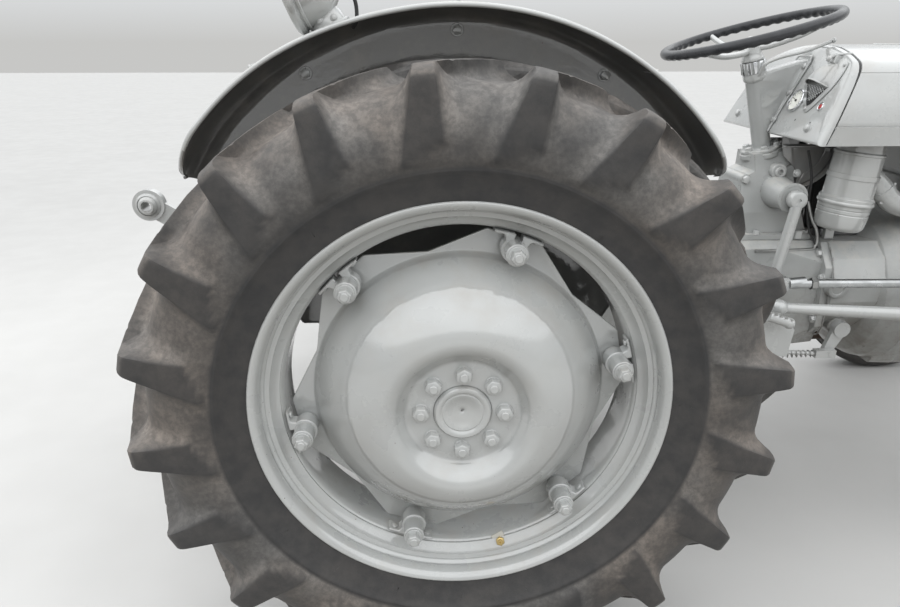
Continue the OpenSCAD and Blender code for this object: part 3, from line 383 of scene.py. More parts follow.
def grid_faces(rows, cols, wrap_rows=False, wrap_cols=False):
    faces = []
    for i in range(rows if wrap_rows else rows - 1):
        for j in range(cols if wrap_cols else cols - 1):
            a = i * cols + j
            b = i * cols + (j + 1) % cols
            c = ((i + 1) % rows) * cols + (j + 1) % cols
            d = ((i + 1) % rows) * cols + j
            faces.append([a, b, c, d])
    return faces


def surface(rows, wrap_rows=False, wrap_cols=False):
    """The surface through rows of points, each as long as the next"""
    return [v for row in rows for v in row], grid_faces(len(rows), len(rows[0]), wrap_rows, wrap_cols)


def lathe(profile, steps=48, closed=False):
    """Turns [radius, height] round the local Z axis"""
    turns = [2 * pi * k / steps for k in range(steps)]
    return surface([[polar(r, a, h) for a in turns] for r, h in profile], closed, True)


def tube(path, radius, steps=16, caps=True):
    """A round tube along points, with one radius or a list of them"""
    points = [Vector(p) for p in path]
    radii = radius if isinstance(radius, (list, tuple)) else [radius] * len(points)
    verts = []
    way = (points[1] - points[0]).normalized()
    side = way.orthogonal().normalized()
    for i, p in enumerate(points):
        ahead = points[min(i + 1, len(points) - 1)] - points[max(i - 1, 0)]
        way = ahead.normalized()
        side = (side - way * side.dot(way)).normalized()
        other = way.cross(side)
        for k in range(steps):
            a = 2 * pi * k / steps
            verts.append(p + (side * cos(a) + other * sin(a)) * radii[i])
    faces = grid_faces(len(points), steps, wrap_cols=True)
    if caps:
        faces.append(list(range(steps - 1, -1, -1)))
        faces.append([len(verts) - steps + k for k in range(steps)])
    return verts, faces


def smooth_path(points, per=6):
    """Points of a Catmull-Rom curve through the given ones"""
    pts = [Vector(p) for p in points]
    out = []
    for i in range(len(pts) - 1):
        a = pts[max(i - 1, 0)]
        b = pts[i]
        c = pts[i + 1]
        d = pts[min(i + 2, len(pts) - 1)]
        for k in range(per):
            t = k / per
            out.append(0.5 * ((2 * b) + (c - a) * t + (2 * a - 5 * b + 4 * c - d) * t * t
                              + (3 * b - a - 3 * c + d) * t ** 3))
    out.append(pts[-1])
    return out


def smooth_line(points, per=5):
    return [(v.x, v.y) for v in smooth_path([(a, b, 0) for a, b in points], per)]


def slab(outline, low, high, bevel=1.5):
    """A plate from an outline in local X and Y, with softened edges"""
    n = len(outline)
    pts = [Vector((*p, 0)) for p in outline]
    area = sum(pts[i].x * pts[(i + 1) % n].y - pts[(i + 1) % n].x * pts[i].y for i in range(n))
    turn = 1 if area > 0 else -1
    inner = []
    for i in range(n):
        a = (pts[i] - pts[i - 1]).normalized()
        b = (pts[(i + 1) % n] - pts[i]).normalized()
        normal = Vector((-(a + b).y, (a + b).x, 0)) * turn
        size = max(normal.length, 0.3)
        inner.append(pts[i] + normal / size * bevel * min(1.4, 2 / size))
    verts = []
    for h, ring in ((low, inner), (low + bevel, pts), (high - bevel, pts), (high, inner)):
        verts += [Vector((p.x, p.y, h)) for p in ring]
    faces = grid_faces(4, n, wrap_cols=True)
    faces.append(list(range(n - 1, -1, -1)))
    faces.append([3 * n + k for k in range(n)])
    return verts, faces


def block(x0, y0, x1, y1, low, high, bevel=1.5):
    return slab([(x0, y0), (x1, y0), (x1, y1), (x0, y1)], low, high, bevel)


def hexagon(flats, height, stud=0.0):
    """A hexagon nut or head on the local XY plane, with chamfered corners and perhaps a stud's end"""
    r = flats / 2 / cos(pi / 6)
    rings = ((r, 0.0), (r, height * 0.82), (r * 0.93, height * 0.94), (r * 0.82, height))
    head = lathe(rings, 6)
    head[1].append([18, 19, 20, 21, 22, 23])
    if not stud:
        return head
    end = lathe([(stud, 0), (stud, height + stud * 0.32), (stud * 0.84, height + stud * 0.5),
                 (0.01, height + stud * 0.5)], 16)
    return merged(head, end)


def dome_bolt(radius, height):
    return lathe([(radius, 0), (radius, height * 0.35), (radius * 0.86, height * 0.75),
                  (radius * 0.5, height * 0.95), (0.01, height)], 20)


def washer(radius, thick, hole=0.01):
    return lathe([(hole, thick), (radius - 0.8, thick), (radius, thick - 0.8), (radius, 0)], 28)


def mirrored(shape, s):
    """The same shape on the tractor's left for 1 or on its right for -1"""
    if s > 0:
        return shape
    return [Vector((v[0], -v[1], v[2])) for v in shape[0]], [list(reversed(f)) for f in shape[1]]


def make(name, shape, slot="grey_paint", body="chassis", look=None, angle=32, dust=None):
    """An object from a shape in millimetres from the rear axle, riding on a body"""
    verts, faces = shape
    mesh = bpy.data.meshes.new(name)
    mesh.from_pydata([place(*v) for v in verts], [], faces)
    if dust is not None:
        layer = mesh.attributes.new("dust", "FLOAT", "POINT")
        layer.data.foreach_set("value", dust)
    else:
        bm = bmesh.new()
        bm.from_mesh(mesh)
        bmesh.ops.remove_doubles(bm, verts=bm.verts, dist=2e-5)
        bmesh.ops.recalc_face_normals(bm, faces=bm.faces)
        bm.to_mesh(mesh)
        bm.free()
    mesh.shade_smooth()
    mesh.set_sharp_from_angle(angle=radians(angle))
    mesh.materials.append(LOOKS[look or slot])
    obj = bpy.data.objects.new(name, mesh)
    scene.collection.objects.link(obj)
    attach(obj, body)
    return obj


make_camera()
make_light()

bpy.ops.mesh.primitive_plane_add(size=60)
floor = bpy.context.object
floor.name = "floor"
floor.data.materials.append(floor_paint("floor_paint"))

for row in frame["record"]["subparts"]:
    mesh = nodes[row["node"]].data
    mesh.materials.clear()
    mesh.materials.append(LOOKS[row["material_slot"]])


# Rear wheels. A wheel's shapes are drawn about its middle with Z outwards, X forward and Y up.

REAR_R = 603
REAR_Y = 660
FRONT_X = 1778
FRONT_R = 338
FRONT_Y = 610


def wheel_at(shape, s, x, y, z):
    """Stands a wheel's shape up, with its Z to the tractor's outside"""
    verts = [Vector((x + v[0], s * (y + v[2]), z + v[1])) for v in shape[0]]
    faces = [list(reversed(f)) for f in shape[1]] if s < 0 else shape[1]
    return verts, faces


def on_rear(name, shape, side, s, slot="grey_paint", look=None, angle=32, dust=None):
    """A piece drawn about a rear wheel's middle, riding on that wheel"""
    shape = wheel_at(shape, s, 0, REAR_Y, REAR_R)
    return make(name + side, shape, slot, "rear_wheel_" + side, look, angle, dust)


def ring_of(shape, count, radius, first=0.0):
    """Copies of a shape in a ring, each with its X away from the middle"""
    copies = []
    for i in range(count):
        a = radians(first + i * 360 / count)
        copies.append(moved(shape, Matrix.Rotation(a, 4, "Z") @ Matrix.Translation((radius, 0, 0))))
    return merged(*copies)


def step(value, low, high):
    t = min(1.0, max(0.0, (value - low) / (high - low)))
    return t * t * (3 - 2 * t)


LUGS = 20
LUG_FIRST = -6.15
# Rows from the bead up to the tread's middle: carcass radius and offset, lug radius and offset
TYRE_ROWS = [
    (372, 101, 372, 101), (375, 107, 375, 107), (384, 111, 384, 111), (398, 114, 398, 114),
    (412, 119, 412, 119), (426, 126, 426, 126), (436, 131, 436, 131), (438.5, 133.4, 438.5, 133.4),
    (441, 133.8, 441, 133.8), (443, 133.4, 443, 133.4), (449, 136, 449, 137), (455, 138.5, 455, 142),
    (461, 140, 461, 145), (467, 141, 467, 146), (473, 141.6, 473, 146.6), (479, 141.8, 479, 147),
    (485, 141.6, 486, 147.4), (493, 141, 496, 147.8), (502, 139.6, 508, 148), (513, 136.8, 526, 148),
    (526, 131.5, 546, 148), (539, 124.5, 563, 148), (550, 116, 577, 147.6), (556, 109, 585, 146.8),
    (560, 103.5, 590, 145), (564, 96, 595, 141), (567, 89, 599, 133), (569.5, 81, 601.5, 121),
    (571, 73, 603, 106), (572, 64, 603, 90), (572.3, 60, 603, 85), (572.6, 57, 603, 81),
    (573, 48, 603, 68), (573.3, 37, 603, 52), (573.6, 26, 603, 36), (574, 17, 603, 24),
    (574, 11, 602.6, 15), (574, 7, 599, 9), (574, 4, 588, 5), (574, 0, 574, 0),
]
STEP_ROW = 30


def lug_edges(radius, u, up):
    """How far the lug's trailing and leading edges lie ahead of its outer end"""
    if not up:
        return -17 - (603 - radius) * 0.225, 16.6
    lead = 17 if u >= 110 else 17 + (110 - u) * 1.213
    trail = -17 if u >= 98 else -17 + (98 - u) * 1.085
    return trail, min(lead, 133 - max(0, 16 - u) * 0.9)


def tyre_half_verts(shift):
    """Corners, dust and column count for one half of a rear tyre, from the bead to the middle"""
    verts = []
    dust = []
    pitch = 2 * pi / LUGS
    for row, (rc, uc, rl, ul) in enumerate(TYRE_ROWS):
        up = ul < 140 and rl > 590
        trail, lead = lug_edges(rl, ul, up)
        size = rl / REAR_R
        before = 40 * size
        after = 50 * size if up else 40 * size
        wide = lead - trail
        tops = [trail, trail + 3, trail + wide * 0.35, trail + wide * 0.7, lead - 3, lead]
        xs = [trail - before * k for k in (1.0, 0.74, 0.5, 0.3, 0.13)]
        hs = [0.0, 0.05, 0.17, 0.36, 0.66]
        xs += tops
        hs += [0.97, 1.0, 1.0, 1.0, 1.0, 0.97]
        xs += [lead + after * k for k in (0.13, 0.3, 0.5, 0.74, 1.0)]
        hs += [0.66, 0.36, 0.17, 0.05, 0.0]
        room = pitch * rl - (xs[-1] - xs[0])
        xs += [xs[-1] + room * k / 4 for k in (1, 2, 3)]
        hs += [0.0, 0.0, 0.0]
        on_side = 9 < row < 24
        for i in range(LUGS):
            for k, (x, h) in enumerate(zip(xs, hs)):
                end = 482 - (16 - min(16, max(-40, x))) * 0.53
                if row < 22:
                    h = h * step(rl, end - 3, end + 4)
                if row < 10:
                    h = 0.0
                groove = 1.8 if row == STEP_ROW and 8 < k < 15 else 0.0
                a = radians(LUG_FIRST) + (i + shift) * pitch + x / rl
                r = rc + (rl - rc) * h - groove
                u = uc + (ul - uc) * h
                wear = noise.noise(Vector((r * sin(a) / 26, u / 26, r * cos(a) / 26)))
                r += wear * (1.3 if h > 0.9 and rl > 590 else 0.7)
                verts.append(Vector((r * sin(a), r * cos(a), u)))
                if h > 0.9 and on_side:
                    dust.append(0.17)
                elif h > 0.9:
                    dust.append(0.62)
                elif row < 7:
                    dust.append(0.07)
                elif row < 10:
                    dust.append(0.05)
                else:
                    dust.append(0.95 - 0.35 * (h > 0.5) - 0.2 * (on_side and h < 0.01))
    return verts, dust, len(xs)


def rear_tyre(side, s):
    outer, dust_a, cols = tyre_half_verts(0)
    inner, dust_b, cols = tyre_half_verts(0.5)
    cols *= LUGS
    rows = len(TYRE_ROWS)
    faces = grid_faces(rows, cols, wrap_cols=True)
    start = len(outer)
    verts = outer + [Vector((v.x, v.y, -v.z)) for v in inner]
    faces += [[i + start for i in reversed(f)] for f in grid_faces(rows, cols, wrap_cols=True)]
    # The halves meet along the middle of the tread, a half pitch apart in their order
    last = (rows - 1) * cols
    half = cols // LUGS // 2
    for k in range(cols):
        a = last + k
        b = last + (k + 1) % cols
        shift = (k - half) % cols
        c = start + last + (shift + 1) % cols
        d = start + last + shift
        faces.append([a, d, c, b])
    # Beads
    for k in range(cols):
        faces.append([k, (k + 1) % cols, start + (k + 1) % cols, start + k])
    obj = on_rear("tyre_rear_", (verts, faces), side, s, "tyre_rubber", angle=40, dust=dust_a + dust_b)
    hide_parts("rear_tyre_" + side)


# Half of the rim's visible face, from its lip in to the well, as [radius, distance out]
RIM_FACE = smooth_line([(385.6, 108), (386.6, 112), (384.2, 115), (380.4, 114.8), (375.4, 112),
                        (370.8, 106.6), (367.6, 99), (366.2, 92), (367.2, 88), (367.4, 85.4),
                        (365.2, 82.6), (362, 79.6), (360.8, 74.8), (360.2, 70), (357.6, 65.4), (351, 61),
                        (342, 57), (335, 52.4), (331.6, 46.6), (330.2, 38), (330, 20)], 3)
RIM_BACK = [(337, 58), (347, 64), (353, 75), (371.7, 79), (371.7, 101.6), (380, 106)]


def both_ways(half):
    """A closed section from its half, seen from its outer end to its inner one"""
    return half + [(r, -u) for r, u in reversed(half)]


CLAMPS = 6
CLAMP_R = 302
CLAMP_FIRST = 12


def clamp_strap():
    """A strap bent round a clamp's barrel, with a foot on the rim's well at each side"""
    half = [(24 * cos(a), 24 * sin(a)) for a in (radians(180 - 12 * i) for i in range(11))]
    half += [(14.6, 22.0), (18.2, 22.8), (20.8, 25), (21.9, 28.5), (21.6, 34), (20.6, 43),
             (21.4, 45.5), (25, 45.5)]
    half += [(sqrt(330 ** 2 - y * y) - CLAMP_R, y) for y in (44, 36, 28, 20, 12)]
    half += [(27.6, 8.4), (26.8, 7), (18.4, 7)]
    outline = half + [(x, -y) for x, y in reversed(half[1:])]
    return slab(outline, 33, 61, 1.6)


def rear_rim(side, s):
    rim = lathe(both_ways(RIM_FACE) + both_ways(RIM_BACK[::-1])[::-1], 144, True)
    barrel = lathe([(8.4, 23), (18.6, 23), (20, 24.4), (20, 93.6), (18.6, 95), (8.4, 95)], 32, True)
    rivets = [aimed(dome_bolt(6.5, 4), (21.2, y, 47), (-1, 0, 0)) for y in (-34, 34)]
    clamps = ring_of(merged(barrel, clamp_strap(), *rivets), CLAMPS, CLAMP_R, CLAMP_FIRST)
    obj = on_rear("rim_rear_", merged(rim, clamps), side, s)
    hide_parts("rear_rim_" + side)


def valve(side, s):
    """The tyre's valve, through a tin pad on the rim's well"""
    pad = block(-17, -13, 17, 13, 0, 2.6, 1)
    pad = moved(pad, Matrix.Rotation(radians(14), 4, "Z"))
    stem = lathe([(4.8, 2), (4.8, 13), (4.2, 14.4), (2.4, 14.4), (2.0, 11), (0.01, 11)], 16)
    nut = shifted(hexagon(16, 7), 0, 0, 2.4)
    a = radians(-76)
    base = toward(polar(345, a, 58.2), polar(-0.42, a, 0.907))
    on_rear("valve_pad_", moved(pad, base), side, s, "bright_steel", "valve_tin")
    on_rear("valve_", moved(merged(stem, nut), base), side, s, "bright_steel", "brass")


def arc(cx, cy, r, a0, a1, n):
    steps = [radians(a0 + (a1 - a0) * i / n) for i in range(n + 1)]
    return [(cx + r * cos(a), cy + r * sin(a)) for a in steps]


def dome_line(t):
    """The disc's domed face from its hub out, at a depth t behind it"""
    flank = []
    for i in range(19):
        r = 152 + 118 * sin(pi / 36 * i)
        flank.append((r - 0.6 * t, 145.7 - 105.7 * ((r - 148) / 122) ** 1.8 - 0.8 * t))
    return arc(96, 128, 14 + t, -90, -30, 8) + arc(148, 110, 36 - t, 150, 92, 11) + flank


def plate_edge(angle):
    """The plate's radius at an angle in radians, with a flat-ended lobe for each clamp"""
    x1, y1 = 317.8, 52.0
    x2, y2 = 244.2, 141.0
    a = pi / 6 - abs((angle - radians(CLAMP_FIRST)) % (pi / 3) - pi / 6)
    if a < radians(9.3):
        return x1 / cos(a)
    return (x1 * y2 - x2 * y1) / ((y2 - y1) * cos(a) - (x2 - x1) * sin(a))


def rear_disc(side, s):
    steps = 360
    angles = [2 * pi * k / steps for k in range(steps)]
    front = [(53, 113), (54.2, 114)] + dome_line(0)
    front += [(271.4, 35), (273, 30), (275.4, 26), (278, 23.6), (279, 23)]
    rows = [[(r, u)] * steps for r, u in front]
    for cut, u in ((2.4, 23), (0.7, 22.3), (0, 20.6), (0, 17.4), (0.7, 15.7), (2.4, 15)):
        rows.append([(plate_edge(a) - cut, u) for a in angles])
    back = dome_line(8) + [(265.6, 30), (267, 22), (270, 17), (274, 15), (278.4, 15)]
    rows += [[(r, u)] * steps for r, u in reversed([(53, 106)] + back)]
    disc = surface([[polar(r, a, u) for (r, u), a in zip(row, angles)] for row in rows], True, True)
    head = aimed(hexagon(24, 10), (0, 0, 14.6), (0, 0, -1))
    shank = lathe([(8, 14), (8, 114.6), (6.6, 116.2), (0.01, 116.2)], 24)
    nut = shifted(hexagon(24, 15), 0, 0, 98.4)
    ring = shifted(washer(17, 3.2), 0, 0, 95.3)
    clamps = ring_of(merged(head, shank, nut, ring), CLAMPS, CLAMP_R, CLAMP_FIRST)
    obj = on_rear("disc_rear_", merged(disc, clamps), side, s)
    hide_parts("rear_disc_" + side)


def rear_hub(side, s):
    line = [(0.01, 103), (2.6, 103.2), (3.2, 108), (6, 110), (12, 110.6), (20, 112.4), (28, 116),
            (33, 118.6), (36, 119.4), (38, 118.6), (39.4, 119.2), (42, 121.6), (46, 122.6), (49, 122.2),
            (51.4, 120), (52.5, 117), (52.7, 112), (52.7, 105.7), (100, 105.7), (100, 84), (158, 76),
            (172, 74), (178, 71), (180, 67), (180, 52), (177, 50), (177, 46), (180, 44), (180, 30),
            (172, 30), (172, 62), (60, 62), (60, 30), (34, 26), (34, -150), (0.01, -150)]
    hub = lathe(line, 96)
    nuts = ring_of(shifted(hexagon(27, 15, 8), 0, 0, 115), 8, 76, -1)
    ring = ring_of(shifted(washer(16.5, 1.6), 0, 0, 114), 8, 76, -1)
    obj = on_rear("hub_rear_", merged(hub, nuts, ring), side, s)
    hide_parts("rear_hub_" + side)


# Front wheels

def front_tyre(side, s):
    half = smooth_line([(246, 28), (246.6, 33), (251, 39), (261, 47.5), (274, 54), (284, 57),
                        (291, 58.4)], 3)
    half += [(292, 60), (294.5, 60.2), (295.6, 58.8)]
    half += smooth_line([(297, 58.6), (306, 58), (315, 55.4), (322, 52.2), (327.4, 49), (331, 44.6),
                         (333.6, 38), (335.2, 30), (336, 23.5)], 3)
    half += [(335.4, 22.2), (330, 20.4), (324.6, 17.6), (324, 16), (324, 10), (326, 7.6), (335.4, 6.4),
             (337, 5), (337.6, 0.01)]
    tyre = lathe(both_ways(half), 144, True)
    shape = wheel_at(tyre, s, FRONT_X, FRONT_Y, FRONT_R)
    # Little dust on the front tyres, kept low partly as painted shade under the tractor's front
    dust = [0.16 if abs(abs(v.y) - FRONT_Y) < 40 else 0.3 for v in shape[0]]
    obj = make("tyre_front_" + side, shape, "tyre_rubber", "front_wheel_" + side, dust=dust)
    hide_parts("front_tyre_" + side)


def front_wheel(side, s):
    half = smooth_line([(245.7, 29), (247.4, 35), (251.6, 41), (257, 46.4), (257.6, 48.6), (256, 49.8),
                        (252.8, 48), (248, 43.4), (241.6, 38.6), (235, 33), (229.4, 24.4), (225, 17.6),
                        (222, 12), (221, 4)], 3)
    rim = lathe(both_ways(half) + [(227.7, -14), (227.7, 14)], 120, True)
    face = smooth_line([(38, 8), (62, 8), (74, 9), (96, 15.6), (120, 22.6), (144, 26.4), (172, 26.4),
                        (196, 23.6), (210, 18), (219, 11), (222.8, 6)], 3)
    back = [(r, u - 6) for r, u in reversed(face[:-1])]
    disc = lathe(face + [(222.8, 2)] + back, 120, True)
    hub = lathe([(20.2, -60), (38.6, -60), (40, -58), (44, -20), (70, -8), (70, 1), (68, 3), (40, 5),
                 (38.4, 8), (37.4, 28), (36, 46), (34, 52), (29, 56), (20, 58), (0.01, 58.4)], 64)
    nuts = ring_of(shifted(hexagon(20, 12, 6), 0, 0, 8), 6, 54, 0)
    shape = wheel_at(merged(rim, disc, hub, nuts), s, FRONT_X, FRONT_Y, FRONT_R)
    obj = make("wheel_front_" + side, shape, "grey_paint", "front_wheel_" + side)
    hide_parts("front_wheel_" + side)


for side, s in SIDES:
    rear_tyre(side, s)
    rear_rim(side, s)
    valve(side, s)
    rear_disc(side, s)
    rear_hub(side, s)
    front_tyre(side, s)
    front_wheel(side, s)


# Steering column and wheel. Their shapes are drawn with Z up the column from its foot.

COLUMN_FOOT = (872, 0, 954)
COLUMN_LEAN = 15
HELM_R = 211
HELM_HEIGHT = 308


def on_column(shape):
    return moved(shape, Matrix.Translation(COLUMN_FOOT) @ Matrix.Rotation(radians(-COLUMN_LEAN), 4, "Y"))


def steering_wheel():
    rings = 288
    around = 20
    rows = []
    for i in range(rings):
        a = 2 * pi * i / rings
        grip = 0.5 - 0.5 * cos(a * 48)
        row = []
        for k in range(around):
            b = 2 * pi * k / around
            under = max(0.0, -sin(b + 0.45))
            r = 13 - 3.2 * grip * under
            row.append(polar(HELM_R + r * cos(b), a, HELM_HEIGHT + r * sin(b)))
        rows.append(row)
    obj = make("helm_rim", on_column(surface(rows, True, True)), "helm_rubber", "steering_wheel", angle=60)
    spokes = []
    for angle in (95, 215, 335):
        line = smooth_path([(16, 0, 268), (50, 0, 267), (118, 0, 276), (172, 0, 292),
                            (HELM_R - 5, 0, HELM_HEIGHT - 1)], 6)
        spoke = tube(line, [8.4 - 1.0 * i / (len(line) - 1) for i in range(len(line))], 16)
        spokes.append(moved(spoke, Matrix.Rotation(radians(angle), 4, "Z")))
    hub = lathe([(24, 239), (28, 239.6), (28.6, 242), (27.4, 247), (25, 252), (23.4, 260), (22.4, 270),
                 (21.4, 278), (20.4, 283), (18, 285.4), (10, 286)], 48)
    cap = shifted(hexagon(25, 10), 0, 0, 285)
    top = lathe([(10, 294.6), (8.6, 298), (5, 300), (0.01, 300.6)], 32)
    spoke_obj = make("helm_spokes", on_column(merged(hub, cap, top, *spokes)), "grey_paint",
                     "steering_wheel")
    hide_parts("steering_wheel")
    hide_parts("steering_wheel")


def column_ring():
    count = 144
    rows = []
    for r, h, depth in ((28.4, 208.4, 0), (31, 208.6, 0), (31.8, 210, 1.5), (31.8, 236.4, 1.5),
                        (31, 238, 0), (24, 238.2, 0)):
        flutes = [depth * max(0.0, cos(pi * 2 * k / 12)) for k in range(count)]
        rows.append([polar(r - flute, 2 * pi * k / count, h) for k, flute in enumerate(flutes)])
    make("column_ring", on_column(surface(rows, wrap_cols=True)), "bright_steel", look="chrome")
    collar = lathe([(24.4, 186), (25.6, 187.4), (28.4, 192), (28.6, 194), (28.6, 207), (27.8, 208.4),
                    (25, 208.6)], 48)
    foot = lathe([(24.2, 14), (25, 8), (28, 4), (33, 2.4), (34, 2)], 48)
    make("column_collars", on_column(merged(collar, foot)))
    flange = []
    for low, high, size in ((-13.6, 0.4, 56), (1.2, 9.6, 52)):
        edge = [polar(size + 3 * cos(4 * a + 0.6), a).xy for a in (2 * pi * k / 96 for k in range(96))]
        flange.append(slab(edge, low, high, 1.8))
    bolts = []
    for k in range(6):
        a = radians(15 + 60 * k)
        bolt = merged(washer(10.5, 1.6), shifted(hexagon(17, 8), 0, 0, 1.6))
        bolts.append(shifted(bolt, *polar(41, a, 9.6)))
    make("column_flange", on_column(merged(*flange)), "grey_casting")
    make("column_bolts", on_column(merged(*bolts)))


steering_wheel()
column_ring()

lever = smooth_path([(818, -24, 1146), (822, -32, 1160), (826, -40, 1177), (842, -44, 1187),
                     (870, -49, 1197), (921, -56, 1210), (977, -60, 1232)], 6)
knob = lathe([(0.01, -7), (4.5, -5.4), (6.6, 0), (4.5, 5.4), (0.01, 7)], 20)
make("throttle_lever", merged(tube(lever, 4.6, 12), shifted(knob, 984, -60, 1234.6)))


# Dash and bonnet. Their section is drawn as [y, z], and the dash panel leans along dash_x().

PANEL_FOOT = Vector((870, 0, 1009))
PANEL_SLOPE = 0.45
PANEL_LEAN = atan(PANEL_SLOPE)


def dash_x(z):
    return PANEL_FOOT.x + PANEL_SLOPE * (z - PANEL_FOOT.z)


CROWN_R = 570
CROWN_Z = 655
CORNER_R = 52
CORNER_Y = 181
CORNER_Z = CROWN_Z + sqrt((CROWN_R - CORNER_R) ** 2 - CORNER_Y ** 2)
CORNER_TOP = 90 - degrees(asin(CORNER_Y / (CROWN_R - CORNER_R)))


def side_y(z):
    """Half width of the dash and bonnet at a height below their rounded shoulders"""
    f = (z - 1000) / 153
    return 269 - 26 * f - 11.5 * f * f


def section_half(t, low):
    """Half the bonnet's section, t inside its outer face, from the lower edge to the middle of the top"""
    pts = [(side_y(low + (1040 - low) * k / 6) - t, low + (1040 - low) * k / 6) for k in range(7)]
    edge = arc(CORNER_Y, CORNER_Z, CORNER_R - t, 14, CORNER_TOP, 24)
    lean = []
    for k in range(1, 8):
        z = 1040 + (edge[0][1] - 1040) * k / 8
        lean.append((side_y(z) - t, z))
    crown = arc(0, CROWN_Z, CROWN_R - t, CORNER_TOP, 90, 20)[1:]
    return pts + lean + edge + crown


def section(t, low):
    half = section_half(t, low)
    return half + [(-y, z) for y, z in reversed(half[:-1])]


def on_panel(shape):
    """Sets a shape drawn as [to the right, up the panel, out toward the seat] on the dash panel's face"""
    out = Vector((-cos(PANEL_LEAN), 0, sin(PANEL_LEAN)))
    up = Vector((sin(PANEL_LEAN), 0, cos(PANEL_LEAN)))
    verts = [PANEL_FOOT + up * v[1] + out * v[2] + Vector((0, -v[0], 0)) for v in shape[0]]
    return verts, shape[1]


def spot(y, z):
    """Panel coordinates of a point of the panel given as its Y and Z"""
    return -y, (z - PANEL_FOOT.z) / cos(PANEL_LEAN)


def skirt(z):
    """How much further back the dash's skirt reaches at its sides, where the rubber strip is narrow"""
    return 4.4 - 4.4 * step(z, 1130, 1196)


def dash_panel():
    """The panel's face and rim, closed behind"""
    rings = []
    for t, d in ((30, 0), (13, 0), (9.5, 0.5), (6, 2.0), (3.2, 4.6), (1.2, 8), (0.3, 11.6), (0, 15),
                 (0, 17.4), (1, 18), (3.4, 18), (4.2, 17), (4.2, 10), (9, 5.6), (16, 4.4), (30, 4.4)):
        rings.append([Vector((dash_x(z) + d + (skirt(z) if d > 16 else 0), y, z))
                      for y, z in section(t, 1000 + t * 0.8)])
    count = len(rings[0])
    verts, faces = surface(rings, wrap_cols=True)
    faces.append(list(range(count)))
    faces.append([(len(rings) - 1) * count + k for k in reversed(range(count))])
    return verts, faces


def cowl():
    """The cowl between the steering column and the panel"""
    rows = []
    for i in range(13):
        k = i / 12
        width = 24.4 - 5.0 * k
        if k > 0.93:
            width += 5 * (k - 0.93) / 0.07
        top = 1150 + 40 * k
        line = [(width, 1004), (width, 1050), (width, 1100), (width, top - 9), (width - 0.6, top - 5),
                (width - 2.6, top - 1.6), (width - 6, top), (width - 11, top + 0.3)]
        line += [(-y, z) for y, z in reversed(line)]
        row = []
        for y, z in line:
            back = COLUMN_FOOT[0] - 0.268 * (z - COLUMN_FOOT[2])
            row.append(Vector((back + (dash_x(z) - 0.5 - back) * k, y, z)))
        rows.append(row)
    return surface(rows)


def cowl_flange():
    """The flange round the cowl, with a rolled edge and its bolts"""
    half = [(26, -2), (28, 60), (33, 130), (37, 178), (36.6, 190), (33, 199), (25, 204)]
    edge = half + [(-x, y) for x, y in reversed(half)]
    bead = smooth_path([(x * 1.02, y, 3.4) for x, y in edge], 4)
    pieces = [slab(edge, 0, 3.2, 1.2), tube(bead, 2.6, 8)]
    bolt = merged(washer(11, 1.4), dome_bolt(8.6, 7))
    for y, z in ((28.5, 1170), (26.5, 1104), (24, 1036)):
        for s in (-1, 1):
            x, v = spot(s * y, z)
            pieces.append(shifted(bolt, x, v, 3.2))
    return on_panel(merged(*pieces))


def dash():
    obj = make("dash_panel", merged(dash_panel(), cowl(), cowl_flange()), angle=40)
    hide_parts("dash")
    brackets = [mirrored(dash_bracket(), s) for s in (-1, 1)]
    # The brackets take a darker grey, painted shade from the panel above them
    obj = make("dash_brackets", merged(*brackets), "grey_casting", look="bracket_shade", angle=40)
    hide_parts("dash")


def dash_bracket():
    """Ribbed bracket from the panel's back down to the lug on the steering box"""
    web = [(dash_x(1030) + 5, 1030), (dash_x(1030) + 13, 1030), (912, 979)]
    web += arc(925, 978, 112, 0, -80, 16) + [(946, 890), (932, 918), (898, 948), (890, 978)]
    rim = arc(925, 978, 113, 4, -82, 24) + arc(925, 978, 110, -82, 4, 24)
    inner = arc(925, 978, 108, 0, -78, 20) + arc(925, 978, 84, -66, -8, 20)
    shelf = [(892, 973), (1037, 973), (1037, 977), (892, 977)]
    parts = []
    for outline, low, high in ((web, 66.4, 69.4), (rim, 66.4, 93), (inner, 66.4, 73), (shelf, 66.4, 88)):
        parts.append(upright(slab(outline, low, high, 1.2)))
    return merged(*parts, aimed(washer(21, 5, 8), (930, 66, 906), (0, -1, 0)))


def gauge():
    here = Matrix.Translation((*spot(-76, 1089), 0))
    bezel = lathe([(31, 0), (31, 3), (30, 6), (27.6, 7.2), (25.4, 6.4), (24.6, 4.2), (24.4, 3)], 64)
    make("gauge_bezel", on_panel(moved(bezel, here)), "bright_steel", look="chrome")
    face = lathe([(24.6, 3.2), (0.01, 3.2)], 48)
    make("gauge_face", on_panel(moved(face, here)), look="dial_face")
    marks = []
    for k in range(11):
        a = radians(215 - 25 * k)
        tick = block(17, -0.5, 22.5, 0.5, 3.3, 3.7, 0.1)
        marks.append(moved(tick, Matrix.Rotation(a, 4, "Z")))
    needle = slab([(-5, -0.9), (18, -0.35), (18, 0.35), (-5, 0.9)], 4.1, 4.7, 0.1)
    marks.append(moved(needle, Matrix.Rotation(radians(160), 4, "Z")))
    marks.append(lathe([(3, 3.4), (3, 5.2), (0.01, 5.4)], 16))
    make("gauge_marks", on_panel(moved(merged(*marks), here)), "dark_paint", look="black_and_shade")


